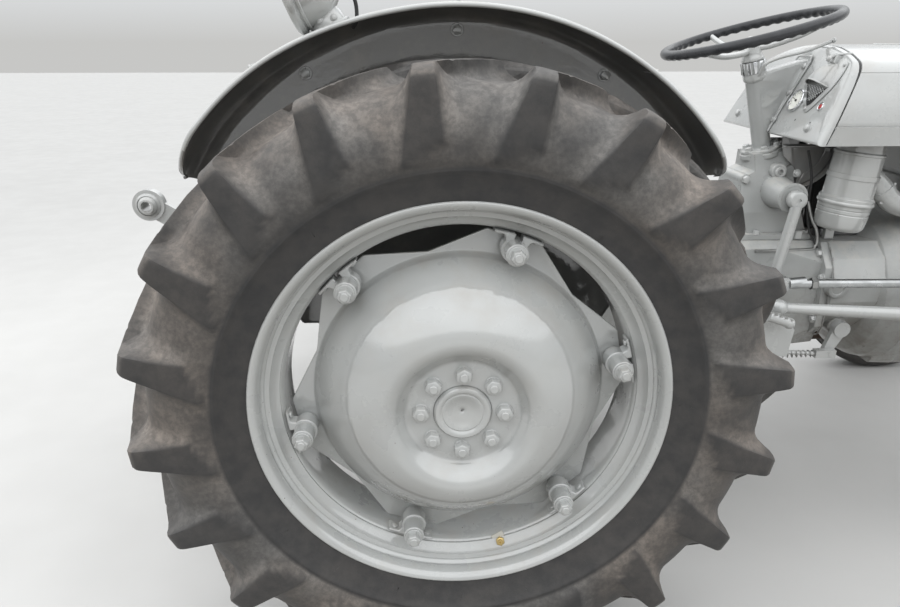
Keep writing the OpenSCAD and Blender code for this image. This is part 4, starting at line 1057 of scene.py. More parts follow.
def scoop():
    """A scoop over a mesh, with a flat flange round both"""
    base = smooth_line([(139, 62), (112, 84), (80, 118), (72, 134), (78, 148), (104, 172), (140, 194),
                        (172, 202), (196, 196), (204, 178), (202, 150), (192, 122), (170, 88), (152, 66),
                        (139, 62)], 4)[:-1]
    flange = on_panel(slab(base, 0.2, 3.6, 1.4))
    rows = []
    for i in range(13):
        b = i / 12
        row = []
        for j in range(21):
            a = j / 20
            lip = Vector((84 + 96 * a, 134 - 4 * a + 5 * sin(pi * a)))
            top = Vector((84 + 100 * a + 16 * sin(pi * a), 136 - 2 * a + 56 * sin(pi * a) ** 0.7))
            p = lip * (1 - b) + top * b
            rise = 27 * sin(pi * a) ** 0.62 * cos(pi / 2 * b ** 1.3) ** 0.8
            row.append(Vector((p.x, p.y, 3.4 + rise)))
        rows.append(row)
    hood = surface(rows)
    lip = tube([v + Vector((0, -0.5, 0)) for v in rows[0]], 2.0, 8)
    bolts = [shifted(dome_bolt(5.4, 4), x, y, 3.4) for x, y in ((139, 71), (82, 140), (195, 186))]
    make("scoop", merged(flange, on_panel(merged(hood, lip, *bolts))), angle=45)
    # A dark sheet under the wire mesh, painted shade for the opening behind it
    dark = slab([(88, 130), (178, 127), (150, 84), (139, 78), (128, 86)], 3.0, 4.4, 0.3)
    make("scoop_shade_sheet", on_panel(dark), "dark_paint", look="black_and_shade")
    wires = []
    cell = 3.9
    for i in range(17):
        for j in range(11):
            x = 90 + i * cell * 1.5
            y = 84 + j * cell * 1.732 + (i % 2) * cell * 0.866
            low = 84 + abs(x - 139) * 1.02
            if not low < y < 128 or not 88 < x < 178:
                continue
            corners = [Vector((x, y, 5.6)) + polar(cell, radians(60 * k)) for k in range(4)]
            wires += [tube(corners[k:k + 2], 0.95, 4, False) for k in range(3)]
    make("scoop_mesh", on_panel(merged(*wires)))


def dash_fittings():
    """Warning lamp, knobs, small screws, screw holes and the bonnet's latch"""
    here = Matrix.Translation((*spot(-194, 1084), 0))
    ring = lathe([(10.5, 0), (10.5, 2.2), (8.6, 3.8), (6.6, 3), (6.4, 1.5)], 32)
    make("lamp_ring", on_panel(moved(ring, here)), "bright_steel", look="chrome")
    make("lamp_red", on_panel(moved(dome_bolt(6.4, 3.6), here)), look="red_lens")
    bits = []
    for y, z, r, h in ((-192, 1034, 10, 9), (192, 1034, 10, 9), (196, 1084, 6, 4)):
        x, v = spot(y, z)
        bits.append(shifted(merged(washer(r + 2.4, 1.4), dome_bolt(r, h)), x, v, 0))
    x, v = spot(-150, 1188)
    bits.append(shifted(block(-9, -10, 9, 10, 0, 13, 2), x, v, 0))
    make("dash_bits", on_panel(merged(*bits)))
    tongue = smooth_path([(930, -147, 1193), (945, -149, 1201), (962, -151, 1203), (982, -153, 1204)], 4)
    pull = aimed(dome_bolt(7, 8), (931, -147, 1192), (-1, 0, 0.3))
    make("latch", merged(tube(tongue, 3.4, 10), pull))
    # The screw holes are dark discs, painted shade inside the holes
    holes = [shifted(lathe([(2.6, 0.25), (0.01, 0.25)], 12), *spot(y, z), 0)
             for y, z in ((-188, 1046), (-118, 1046))]
    make("dash_holes", on_panel(merged(*holes)), "dark_paint", look="black_and_shade")


def bonnet_strip():
    """Rubber strip between the dash's skirt and the bonnet"""
    rings = []
    for t, d in ((2.4, 18), (1.0, 19.4), (1.0, 24.4), (2.4, 25.6), (5.0, 25.6), (5.0, 18)):
        rings.append([Vector((dash_x(z) + d + (skirt(z) if d < 19.7 else 0), y, z))
                      for y, z in section(t, 1003)])
    make("bonnet_strip", surface(rings, wrap_rows=True), "dark_paint", look="black_strip")


dash()
gauge()
scoop()
dash_fittings()
bonnet_strip()


def bonnet_line(t):
    """The bonnet's section from its left lower edge over the top, with its panel joint and crease"""
    half = [(261 + (z - 999) * 0.05 - t, z) for z in (999, 1001, 1010, 1020, 1030, 1036, 1041.6, 1042.6)]
    for z, cut in ((1042.8, 2.4), (1043.2, 2.6), (1045.0, 2.6), (1045.4, 0.5), (1046.6, 0), (1054, 0),
                   (1075, 0), (1095, 0), (1115, 0), (1132, 0), (1144, 0)):
        half.append((side_y(z) - t - cut, z))
    for angle in (14, 18, 22, 24.6, 25.5, 26.4, 27.4, 31, 35, 40, 45, 50, 55, 60, 65, CORNER_TOP):
        fold = 1.1 if 25 < angle < 27 else 0.0
        a = radians(angle)
        r = CORNER_R - t - fold
        half.append((CORNER_Y + r * cos(a), CORNER_Z + r * sin(a)))
    half += arc(0, CROWN_Z, CROWN_R - t, CORNER_TOP, 90, 16)[1:]
    return half + [(-y, z) for y, z in reversed(half[:-1])]


NOSE_X = 1880
GRILLE_Y = 118


def nose_spread(x):
    """How far the sides and the top have drawn in at x, as shares of their width and height"""
    wide = 140 + sqrt(max(0.0, 130 ** 2 - max(0.0, x - 1750) ** 2))
    high = sqrt(max(0.0, 120 ** 2 - max(0.0, x - 1760) ** 2))
    return wide / 270, high / 120


# Places along the bonnet's front half, closer together where it draws in
FRONTS = [1400, 1600, 1690, 1697.5, 1698, 1720, 1740, 1750]
FRONTS += [1750 + 130 * sin(radians(a)) for a in range(6, 91, 6)]
CHEEK_FRONTS = FRONTS[5:]


def bonnet_skin(t):
    """Rows of the bonnet's sides and top, t inside its outer face"""
    line = bonnet_line(t)
    rows = [[Vector((dash_x(z) + 26 + back, y, z)) for y, z in line] for back in (0, 3, 20)]
    rows.append([Vector((1120, y, z)) for y, z in line])
    for x in FRONTS:
        wide, high = nose_spread(x)
        row = []
        for y, z in line:
            up = z if z < 1108 else 1108 + (z - 1108) * high
            row.append(Vector((min(x, NOSE_X - t), y * wide, up)))
        rows.append(row)
    rows.append([Vector((NOSE_X - t, max(-GRILLE_Y, min(GRILLE_Y, v.y)), min(1090, v.z)))
                 for v in rows[-1]])
    return rows


def bonnet_cheek(t, s):
    """Rows of the panel below the front of one side, t inside its outer face"""
    rows = []
    for x in [1698 + t * 0.2] + CHEEK_FRONTS:
        wide = nose_spread(x)[0]
        rows.append([Vector((min(x, NOSE_X - t), s * (270 - t) * wide, 698 + 301 * k / 8))
                     for k in range(9)])
    rows.append([Vector((NOSE_X - t, s * GRILLE_Y, v.z)) for v in rows[-1]])
    return rows


def bonnet():
    parts = []
    sheets = [(bonnet_skin(0), bonnet_skin(3.6))]
    sheets += [(bonnet_cheek(0, s), bonnet_cheek(3.6, s)) for s in (1, -1)]
    for outer, inner in sheets:
        rows = outer + inner[::-1]
        count = len(rows)
        cols = len(rows[0])
        verts, faces = surface(rows, wrap_rows=True)
        for i in range(len(outer) - 1):
            for c in (0, cols - 1):
                faces.append([i * cols + c, (i + 1) * cols + c, (count - 2 - i) * cols + c,
                              (count - 1 - i) * cols + c])
        parts.append((verts, faces))
    bar = block(-118.5, 698, 118.5, 740, 1876, 1880, 1.2)
    parts.append(([Vector((v[2], v[0], v[1])) for v in bar[0]], bar[1]))
    bead = [(1881, y, z) for y, z in ((-114, 738), (-119, 743), (-119, 1086), (-114, 1092), (114, 1092),
                                      (119, 1086), (119, 743), (114, 738), (-114, 738))]
    parts.append(tube(bead, 3.2, 8))
    for s in (-1, 1):
        parts.append(tube([(1838, s * 70, 712), (1838, s * 112, 712)], 6, 16))
        ear = slab([(1826, 700), (1846, 698), (1872, 716), (1874, 736), (1862, 738), (1832, 726),
                    (1824, 714)], 100, 112, 1.5)
        parts.append(mirrored(upright(ear), s))
    obj = make("bonnet_shell", merged(*parts), "grey_paint", "bonnet", angle=28)
    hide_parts("bonnet")
    bolts = [((1868, s * 134, z), (1, 0, 0), 10) for s in (-1, 1) for z in (730, 860, 1000)]
    screws("bonnet_screws", bolts, "grey_paint", "bonnet", dome=True)
    strip = slab([(1130, -9), (1750, -9), (1762, 0), (1750, 9), (1130, 9)], 1223.6, 1227.4, 1.4)
    make("bonnet_ridge", strip, "grey_paint", "bonnet")


def screws(name, rows, slot="grey_paint", body="chassis", dome=False, look=None):
    """Bolt heads, each given as its place, its direction and its width across flats"""
    shapes = []
    for i, (at, way, size) in enumerate(rows):
        head = dome_bolt(size / 2, size * 0.4) if dome else hexagon(size, size * 0.55)
        lift = Matrix.Translation((0, 0, size * 0.1))
        both = merged(washer(size * 0.72, size * 0.1), moved(head, lift))
        shapes.append(aimed(both, at, way, 0.4 * i))
    return make(name, merged(*shapes), slot, body, look)


bonnet()


# Mudguards, turned about a line above the axle. The angle runs from the top toward the front.

GUARD_Z = 701
GUARD_BACK = -61
GUARD_FRONT = 61.5


def guard_point(r, angle, y):
    return Vector((r * sin(angle), y, GUARD_Z + r * cos(angle)))


GUARD_R = 594
GUARD_STEPS = 120


def guard_bulge(turned):
    """How far the rear half stands out behind its solid, at an angle in degrees from the top"""
    return 12 * step(-turned, 8, 42)


def guard_skin(s):
    """The curved top, from the panel's upper edge over it to the rolled outer edge and back inside"""
    line = [(548, 491.4), (560, 491.4), (566, 491.8), (573, 493.6), (580, 498), (586, 505), (590, 514),
            (592.4, 526), (594.4, 545), (595, 570), (594.4, 600), (593, 624), (592, 634)]
    line += [(588 + 4.4 * sin(a), 640 + 4.4 * cos(a)) for a in (radians(80 - 32 * i) for i in range(9))]
    line += [(589, 632), (590.4, 600), (591, 570), (590.4, 545), (588.4, 527), (586, 516), (582.6, 508),
             (577.6, 502), (571.6, 497.6), (566, 495.6), (560, 495.2), (548, 495.2)]
    rows = []
    for i in range(GUARD_STEPS + 1):
        turned = GUARD_BACK + (GUARD_FRONT - GUARD_BACK) * i / GUARD_STEPS
        # The outer corners are rounded
        start, reach = (50.5, 112) if turned > 0 else (48.5, 125)
        over = min(reach, max(0.0, abs(turned) - start) * GUARD_R * pi / 180)
        drop = min(112, reach - sqrt(reach ** 2 - over ** 2))
        more = guard_bulge(turned) - 8 * step(-turned, 50, 60)
        row = []
        for r, y in line:
            f = max(0.0, (y - 520) / 120)
            row.append(guard_point(r + more * step(y, 500, 540), radians(turned), s * (y - drop * f)))
        rows.append(row)
    cols = len(line)
    verts, faces = surface(rows, wrap_cols=True)
    faces.append(list(range(cols)))
    faces.append([GUARD_STEPS * cols + k for k in reversed(range(cols))])
    return verts, faces


def guard_panel(s):
    """The side panel down to the axle, as two faces with a bead along each free edge"""
    parts = []
    for y in (491.6, 495.0):
        rows = []
        for i in range(GUARD_STEPS + 1):
            f = -1 + 2 * i / GUARD_STEPS
            a = radians(GUARD_FRONT * f if f > 0 else -GUARD_BACK * f)
            x = 320 * f
            low = 672 if abs(x) > 76 else max(672, 603 + sqrt(76.5 ** 2 - x * x))
            high = guard_point(550, a, s * y)
            foot = Vector((x, s * y, low))
            rows.append([high.lerp(foot, k / 8) for k in range(9)])
        parts.append(surface(rows))
    for f, turned in ((-1, GUARD_BACK), (1, GUARD_FRONT)):
        end = guard_point(572, radians(turned), s * 493)
        foot = Vector((f * 320, s * 493, 672))
        parts.append(tube([end, end.lerp(foot, 0.4), foot], 3.6, 8))
        across = [guard_point(592, radians(turned), s * y) for y in (515, 528)]
        parts.append(tube(across, 3.4, 8))
    for f in (1, -1):
        parts.append(tube([(f * 320, s * 493, 672), (f * 80, s * 493, 672)], 3.4, 8))
    return merged(*parts)


def mudguard(side, s):
    obj = make("guard_" + side, merged(guard_skin(s), guard_panel(s)), look="guard_shade", angle=35)
    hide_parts("mudguard_" + side)
    mesh = obj.data
    mesh.materials.append(LOOKS["grey_paint"])
    # The outer skin takes the bright grey paint; only what faces the tyre keeps guard_shade, a darker grey
    # that is dirt and painted shade inside the mudguard
    centre = place(0, 0, GUARD_Z)
    for face in mesh.polygons:
        out = face.center - centre
        out.y = 0
        away = face.normal.dot(out.normalized())
        inner_side = face.normal.y * s < -0.5
        if away > 0.25 or inner_side or abs(face.center.y) > 0.632:
            face.material_index = 1
    rows = []
    for a in (-30.5, 0.5, 31.5):
        for y, f in ((495.6, 1), (491.4, -1)):
            rows.append((guard_point(551, radians(a), s * y), (0, f * s, 0), 17))
    screws("guard_bolts_" + side, rows)
    ribs = []
    for a in (-36, 0, 36):
        r = GUARD_R + 0.5 + guard_bulge(a)
        line = [guard_point(r, radians(a), s * y) for y in (520, 545, 595, 618)]
        ribs.append(tube(smooth_path(line, 4), [1.0] + [4.6] * 11 + [1.0], 8))
    make("guard_ribs_" + side, merged(*ribs))


for side, s in SIDES:
    mudguard(side, s)


def guard_top(x):
    """Height of the mudguard's outer face at x, behind its top"""
    angle = degrees(atan2(-x, 560))
    return GUARD_Z + sqrt((GUARD_R + 1 + guard_bulge(-angle)) ** 2 - x * x)


LENS_R = 70.6


def work_lamp():
    """The lamp on the right mudguard: shell, lens, foot and lead"""
    turn = Matrix.Translation((-262, -562, 1334)) @ Matrix.Rotation(radians(-108), 4, "Y")
    turn = turn @ Matrix.Scale(1.1, 4)
    bowl = arc(0, 18, 74, -89.6, 0, 20)
    shell = lathe(bowl + [(75, 20), (77.4, 21), (79.4, 24), (79.8, 28), (78.6, 32), (75.6, 34.8),
                          (72, 35.2), (70.4, 33.8), (70, 30)], 96)
    seam = lathe([(74.6, 12), (76.2, 13.4), (76.2, 16.6), (74.6, 18)], 96)
    obj = make("lamp_shell", moved(merged(shell, seam), turn))
    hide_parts("work_lamp")
    rows = []
    for i in range(14):
        r = LENS_R * (1 - i / 13) + 0.01
        row = []
        for k in range(60):
            a = 2 * pi * k / 60
            wave = 0.9 * cos(r * cos(a) / 3.2)
            row.append(polar(r, a, 31 + 7 * (1 - (r / LENS_R) ** 2) + wave * (i > 0)))
        rows.append(row)
    make("lamp_lens", moved(surface(rows, wrap_cols=True), turn), "bright_steel",
         look="pale_lens", angle=60)
    foot = lathe([(31, 1240), (31.6, 1256), (31, 1264), (28.6, 1272), (23, 1281), (16, 1288), (11.6, 1293),
                  (10.6, 1298), (10.4, 1316)], 40)
    foot = shifted(foot, -224, -562, 0)
    collar = aimed(washer(40, 4, 20), (-224, -562, 1254), (-0.4, 0, 0.92))
    # The foot's lower edge follows the mudguard's curved top
    for v in foot[0]:
        v.z = max(v.z, guard_top(v.x) - 1.5)
    make("lamp_foot", merged(foot, collar))
    rows = [((-236, -591, 1264), (-0.3, -1, 0), 9), ((-212, -591, 1270), (0.3, -1, 0), 9),
            ((-262, -562, 1420), (-0.3, 0, 0.95), 8)]
    screws("lamp_screws", rows, dome=True)
    cable = smooth_path([(-196, -560, 1322), (-178, -556, 1300), (-176, -552, 1268),
                         (-184, -545, 1254)], 6)
    make("lamp_cable", tube(cable, 3.4, 10), "dark_paint", look="black_strip")


work_lamp()


def air_cleaner():
    """The air cleaner with its elbow, a little slimmer than its solid and leaning"""
    line = [(0.01, 772), (49, 772), (56, 773.6), (61.6, 777), (65, 782), (66.6, 788), (69.2, 808),
            (69.6, 814.6), (68.6, 815.6), (68.2, 817), (68.6, 818.4), (69.8, 819.4), (70, 826), (69, 827),
            (68.8, 828.4), (69.2, 829.6), (70.4, 830.6), (70.8, 837), (71.6, 838.6), (74, 840.4),
            (75.2, 843), (74.6, 846.6), (72.6, 849), (72.8, 856), (70, 859.4), (67, 861), (66.6, 870),
            (64.8, 960), (64.8, 964), (67, 965.6), (67.6, 968), (67, 970.4), (63, 972), (61, 974),
            (60.4, 980), (60, 998), (56, 1002), (0.01, 1003)]
    lean = Matrix.Translation((1047, -162, 985)) @ Matrix.Rotation(radians(6), 4, "Y")
    lean = lean @ Matrix.Diagonal((0.9, 0.9, 1, 1)) @ Matrix.Translation((0, 0, -985))
    body = moved(lathe(line, 96), lean)
    pipe = smooth_path([(1084, -158, 910), (1112, -161, 886), (1148, -166, 848), (1185, -167, 832),
                        (1222, -165, 824), (1250, -159, 821), (1272, -152, 812), (1280, -150, 798),
                        (1280, -150, 787)], 5)
    elbow = tube(pipe, [28.4 if i < 26 else 26.5 for i in range(len(pipe))], 32)
    socket = shifted(lathe([(30, 787), (31, 789), (31, 806), (29.4, 808), (27, 808)], 40), 1280, -150, 0)
    plate = block(1030, 729, 1056, 900, 92, 106, 1.5)
    plate = ([Vector((v[0], -v[2], v[1])) for v in plate[0]], plate[1])
    obj = make("cleaner", merged(body, elbow, socket, plate))
    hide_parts("air_cleaner")
    bands = []
    for i in (7, 20, 28):
        way = (pipe[i + 1] - pipe[i]).normalized()
        bands.append(aimed(lathe([(28, -7), (30.4, -6.4), (30.4, 6.4), (28, 7)], 40), pipe[i], way))
        edge = pipe[i] + way.cross(Vector((0, 1, 0))).normalized() * 30
        bands.append(tube([edge + Vector((0, y, 0)) for y in (-9, 9)], 3.6, 8))
    tab = slab([(0, -6), (26, -6), (30, -3), (30, 3), (26, 6), (0, 6)], -3, 3, 1)
    bands.append(shifted(tab, 1112, -176, 844))
    strap = lathe([(67, 905), (68.6, 905.6), (68.6, 917.4), (67, 918)], 72)
    bands.append(moved(strap, lean))
    make("cleaner_bands", merged(*bands))
    screws("cleaner_bolts", [((1043, -104.4, 760), (0, -1, 0), 13), ((1043, -104.4, 790), (0, -1, 0), 13),
                             ((1138, -176, 847), (0, 0, 1), 9)])


air_cleaner()


def seat():
    """A pan with a rolled lip and pressed grooves. Rows past the lip make its underside."""
    rows = []
    outline = []
    for k in range(120):
        a = 2 * pi * k / 120
        c = cos(a)
        n = sin(a)
        r = min(250.0, (abs(c / 200) ** 5 + abs(n / 225) ** 5) ** -0.2)
        outline.append((r, c, n))
    lip_row = 13
    for f in (0.001, 0.15, 0.3, 0.42, 0.5, 0.58, 0.66, 0.74, 0.82, 0.9, 0.95, 0.98, 1.0, 1.012, 1.0, 0.98,
              0.9, 0.6, 0.3):
        under = len(rows) > lip_row
        row = []
        for k, (r, c, n) in enumerate(outline):
            q = min(f * r, 250)
            z = 1420 - sqrt(460 ** 2 - q * q) + (0 if under else 5)
            lip = max(0.0, f - 0.93) * 110 if not under else (7 if f >= 0.98 else 0)
            groove = 3.4 * step(f, 0.42, 0.5) * step(1 - f, 0.12, 0.2)
            groove *= step(cos(k * 2 * pi / 10), 0.35, 0.8)
            row.append(Vector((-190 + q * c, q * n, z + lip - (0 if under else groove))))
        rows.append(row)
    obj = make("seat_pan", surface(rows, wrap_cols=True), angle=50)
    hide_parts("seat")
    screws("seat_bolts", [((-176, 18, 965.4), (0, 0, 1), 16), ((-176, -18, 965.4), (0, 0, 1), 16),
                          ((142, 14, 876), (0, 0, 1), 17), ((142, -14, 876), (0, 0, 1), 17)],
           "bright_steel", look="bolt_zinc")


seat()


# Fasteners and fittings on the castings

def casting_bolts():
    rows = []
    # Steering box: base flange, side plate and lugs
    for x in (790, 845, 930, 978):
        for s in (-1, 1):
            rows.append(((x, s * 95, 743.4), (0, 0, 1), 15))
    for s in (-1, 1):
        rows.append(((806, s * 66, 886), (0, s, 0), 19))
        rows.append(((930, s * 92, 906), (0, s, 0), 15))
        rows.append(((1010, s * 80, 970), (0, 0, -1), 13))
        # Gearbox and bell housing joints
        for y, z in ((134, 478), (168, 520), (170, 640), (142, 700)):
            rows.append(((1006.6, s * y, z), (-1, 0, 0), 17))
        for z in (440, 520, 600, 680):
            rows.append(((190.4, s * 150, z), (1, 0, 0), 19))
        for x in (560, 640, 720):
            for z in (505, 665):
                rows.append(((x, s * 139, z), (0, s, 0), 13))
        # Trumpet housings on the rear housing
        for k in range(8):
            a = radians(22.5 + 45 * k)
            rows.append(((140 * cos(a), s * 183.4, 603 + 140 * sin(a)), (0, s, 0), 17))
        # Block, sump and head
        for x in range(1270, 1640, 60):
            rows.append(((x, s * 118.4, 508), (0, s, 0), 11))
        for x in range(1275, 1620, 62):
            rows.append(((x, s * 78, 982.4), (0, 0, 1), 17))
    # Rocker cover, lift cover and gear lever
    rows += [((x, 0, 1076.2), (0, 0, 1), 19) for x in (1350, 1510)]
    rows += [((x, y, 758.4), (0, 0, 1), 17) for x in (-140, -60, 60, 150) for y in (-132, 132)]
    rows += [((x, y, 755.4), (0, 0, 1), 15) for x in (392, 548) for y in (-78, 78)]
    screws("casting_bolts", rows, "grey_casting", look="grey_paint")


def casting_covers():
    """Side covers on the gearbox, bosses beside the clutch and seals round the drop arms' shafts"""
    covers = []
    for s in (-1, 1):
        plate = slab([(530, 492), (750, 492), (762, 504), (762, 666), (750, 678), (530, 678), (518, 666),
                      (518, 504)], 127, 138.6, 2)
        covers.append(mirrored(upright(plate), s))
        boss = lathe([(26.4, -3), (26.4, 0.6), (24.6, 2), (17, 2), (15.6, 0.4), (15, -0.4)], 40)
        for x, y, z in ((1037, 198, 617), (1076, 168, 497)):
            covers.append(aimed(boss, (x, s * y, z), (0, s, 0)))
        seal = lathe([(30.4, -6), (38, -5.4), (39, -3), (39, 1), (37.4, 2.4), (31, 2.6), (29, 1),
                      (28, -6)], 48)
        covers.append(aimed(seal, (893, s * 160, 854), (0, s, 0)))
    make("casting_covers", merged(*covers), "grey_casting")


def box_plugs():
    """The steering box's filler plugs, and the bell housing's seam"""
    plug = lathe([(21.4, 0), (21.4, 2.4), (19.6, 4), (14.5, 4.4), (13.6, 4.2), (13.6, 10), (12.4, 11.6),
                  (7.4, 11.8)], 40)
    plug = merged(plug, lathe([(7.4, 11.8), (6.6, 11), (6.4, 4), (0.01, 4)], 6))
    for name, y, s in (("box_plug", -74, -1), ("box_plug_left", 40.2, 1)):
        make(name, aimed(plug, (890, y, 908), (0, s, 0)), "grey_casting", look="grey_paint")
    seam = smooth_path([(1028, y, z) for y, z in ((-140, 462), (-176, 500), (-176, 668), (-130, 728))], 4)
    make("bell_seam", tube(seam, 2.2, 8), "grey_casting")


def small_pipes():
    """The pipe and the leads beside the steering box and under the tank"""
    fuel = smooth_path([(831, -130, 705), (900, -130, 706), (982, -130, 708), (994, -130, 716),
                        (997, -130, 731), (990, -130, 760), (975, -130, 786), (964, -128, 812),
                        (958, -122, 837)], 5)
    clip = block(-12, -10, 12, 10, 0, 14, 2)
    clip = aimed(clip, (956, -96, 742), (0, -1, 0))
    make("pipe_clip", clip)
    make("side_pipe", tube(fuel, 4, 10), "bright_steel", look="bolt_zinc")
    cable = smooth_path([(940, -110, 968), (958, -116, 900), (962, -118, 820), (975, -120, 760),
                         (1000, -132, 712)], 6)
    feed = smooth_path([(1392, -120, 1096), (1388, -128, 1040), (1330, -120, 900), (1292, -110, 800),
                        (1284, -118, 770)], 6)
    make("dark_cables", merged(tube(cable, 3.2, 8), tube(feed, 3.6, 8)), "dark_paint", look="black_strip")


def battery():
    """A battery on a tray between the steering box and the engine, all but hidden under the tank"""
    box = block(1004, -60, 1168, 60, 748, 900, 4)
    lid = block(1000, -63, 1172, 63, 896, 914, 3)
    vents = [shifted(lathe([(11, 0), (11, 7), (8, 9), (0.01, 9)], 24), 1030 + 56 * i, 0, 913)
             for i in range(3)]
    ribs = [block(x, -61.5, x + 5, 61.5, 752, 892, 1) for x in (1030, 1058, 1086, 1114, 1142)]
    make("battery", merged(box, lid, *vents, *ribs), "dark_paint", look="black_strip")
    tray = block(994, -68, 1178, 68, 729, 749, 2)
    rods = [tube([(x, y, 745), (x, y, 922)], 3.4, 8) for x in (998, 1174) for y in (-40, 40)]
    bars = [block(x - 5, -52, x + 5, 52, 914, 918, 1) for x in (998, 1174)]
    make("battery_tray", merged(tray, *rods, *bars), "dark_paint")


casting_bolts()
casting_covers()
box_plugs()
small_pipes()
battery()


def spark_plugs(hub):
    """Makes the plugs, and gives the shapes of their leads to the distributor's hub"""
    plugs = []
    leads = []
    for i in range(4):
        x = 1300 + i * 84
        base = Vector((x, -96, 924))
        way = Vector((0, -0.8, 0.6)).normalized()
        plug = merged(hexagon(18, 12), lathe([(6, 0), (6, 26), (5, 30), (3, 40), (0.01, 41)], 16))
        plugs.append(aimed(plug, base, way))
        tip = base + way * 40
        bend = (tip + hub) / 2 + Vector((0, -34, 26))
        line = [tip, tip + way * 14 + Vector((0, 0, 8)), bend, hub + Vector((0, -4, 34))]
        leads.append(tube(smooth_path(line, 6), 3.6, 8))
    make("spark_plugs", merged(*plugs), "bright_steel", look="bolt_zinc")
    return leads


def engine_fittings():
    hub = Vector((1330, -124, 846))
    leads = spark_plugs(hub)
    cap = shifted(lathe([(26, -60), (26, -6), (34, -4), (34, 18), (26, 28), (12, 34), (0.01, 35)], 40),
                  *hub)
    filter_can = shifted(lathe([(0.01, -66), (34, -66), (38, -60), (38, 34), (34, 38), (12, 40),
                                (0.01, 44)], 40), 1500, -142, 640)
    starter = aimed(lathe([(0.01, 0), (40, 0), (44, 4), (44, 150), (36, 156), (16, 158), (0.01, 158)], 40),
                    (1250, 150, 560), (1, 0, 0))
    make("engine_cans", merged(cap, filter_can, starter), "dark_paint")
    hose = smooth_path([(1612, 0, 1030), (1640, 0, 1046), (1668, 0, 1056), (1700, 0, 1066)], 5)
    low = smooth_path([(1632, 70, 800), (1660, 92, 770), (1676, 108, 735), (1702, 116, 714)], 5)
    belt_line = [(1648, y, z) for y, z in ((-48, 868), (-46, 892), (-24, 912), (6, 915), (34, 902),
                                           (46, 880), (44, 862), (20, 700), (4, 660), (-16, 660),
                                           (-150, 668), (-186, 690), (-184, 724), (-160, 738),
                                           (-60, 830), (-48, 868))]
    belt = tube(belt_line, 5, 6)
    make("hoses", merged(tube(hose, 24, 24), tube(low, 22, 24), belt, *leads), "dark_paint",
         look="black_strip")
    pulleys = []
    for y, z, r in ((0, 868, 46), (-172, 700, 36), (0, 700, 42)):
        wheel = lathe([(12, -10), (r, -10), (r + 2, -8), (r - 6, -2), (r - 6, 2), (r + 2, 8), (r, 10),
                       (12, 10)], 48)
        pulleys.append(aimed(wheel, (1648, y, z), (1, 0, 0)))
    make("pulleys", merged(*pulleys), "dark_paint")


def radiator_fittings():
    """The core's fins and tubes, the cap and the fan's boss"""
    fins = []
    for i in range(56):
        z = 745 + i * 5.2
        fins.append(block(1778, -172, 1782, 172, z, z + 1.2, 0.3))
    for i in range(24):
        y = -166 + i * 14.4
        fins.append(block(1779, y - 1.6, 1783.4, y + 1.6, 741, 1039, 0.4))
    make("radiator_core", merged(*fins), "dark_paint")
    cap = shifted(lathe([(30, 1100), (30, 1118), (33, 1120), (33, 1127), (29, 1131), (10, 1133),
                         (0.01, 1133)], 40), 1737, 0, 0)
    ears = shifted(block(-42, -7, 42, 7, 1127, 1132, 1.5), 1737, 0, 0)
    make("radiator_cap", merged(cap, ears), "bright_steel", look="chrome")
    boss = aimed(lathe([(0.01, 0), (30, 0), (34, 3), (34, 9), (16, 12), (0.01, 12)], 40),
                 (1669, 0, 868), (1, 0, 0))
    make("fan_boss", boss, "dark_paint")


def drop_arm(side, s):
    """A drop arm, from its shaft's end down to the stud that holds the drag link"""
    boss = lathe([(18.4, -21), (22.6, -20), (24, -17), (24, -6), (23.4, 0), (21, 3.6), (16, 5.6), (5, 6.2),
                  (4.4, 5.4), (4, -4), (0.01, -4)], 40)
    spine = smooth_path([(-2.0, 0, -14), (-6, 0, -46), (-16, 0, -112), (-26, 0, -176),
                         (-28.9, 0, -206)], 4)
    arm = tube([(893 + x, s * (187 + y), 854 + z) for x, y, z in spine], 14.6, 24)
    arm = ([Vector((v.x, s * 187 + (v.y - s * 187) * 0.8, v.z)) for v in arm[0]], arm[1])
    way = (0, s, 0)
    eye = lathe([(8, -13), (16.6, -13), (18, -11.6), (18, 11.6), (16.6, 13), (8, 13)], 32)
    stud = lathe([(9, 0), (9, 40), (11, 44), (11, 52), (8.6, 56), (0.01, 57)], 24)
    foot = [aimed(part, (864, s * 190, 648), way) for part in (eye, stud)]
    tip = aimed(hexagon(22, 10, 6), (864, s * 204, 648), way)
    shape = merged(aimed(boss, (893, s * 189, 854), way), arm, *foot, tip)
    obj = make("arm_" + side, shape, "grey_paint", "drop_arm_" + side)
    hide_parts("drop_arm_" + side)


def link_nuts(side, s):
    """The drag link's lock nuts and grease nipple"""
    way = Vector((914, s * 107, 24.3)).normalized()
    nipple = merged(hexagon(9, 6), lathe([(2.6, 5), (2.6, 10), (3.6, 12), (2.4, 15), (0.01, 15.4)], 12))
    parts = [aimed(nipple, (864, s * 235, 629.4), (0, 0, -1))]
    for k in (0.06, 0.93):
        p = Vector((879, s * 236, 648)) + Vector((899, s * 106, 24.3)) * k
        parts.append(aimed(hexagon(28, 16), p, way))
    make("link_nuts_" + side, merged(*parts), "bright_steel", "drag_link_" + side, "bolt_zinc")


def axle_fittings(side, s):
    """The front axle's clamp nuts and the kingpin's cap"""
    rows = [((1739, s * y, 575), (-1, 0, 0), 22) for y in (190, 250, 310)]
    rows += [((1796.4, s * y, 575), (1, 0, 0), 22) for y in (370, 430)]
    rows += [((1740, s * 405, z), (-1, 0, 0), 17) for z in (556, 594)]
    screws("axle_nuts_" + side, rows, "grey_casting", look="grey_paint")
    cap = aimed(lathe([(26, 0), (26, 6), (20, 10), (0.01, 11)], 32), (1778, s * 492, 660), (0, 0, 1))
    arm_nut = aimed(hexagon(24, 14, 7), (1778, s * 342, 686.6), (0, 0, 1))
    make("king_cap_" + side, merged(cap, arm_nut), "grey_paint", "knuckle_" + side)


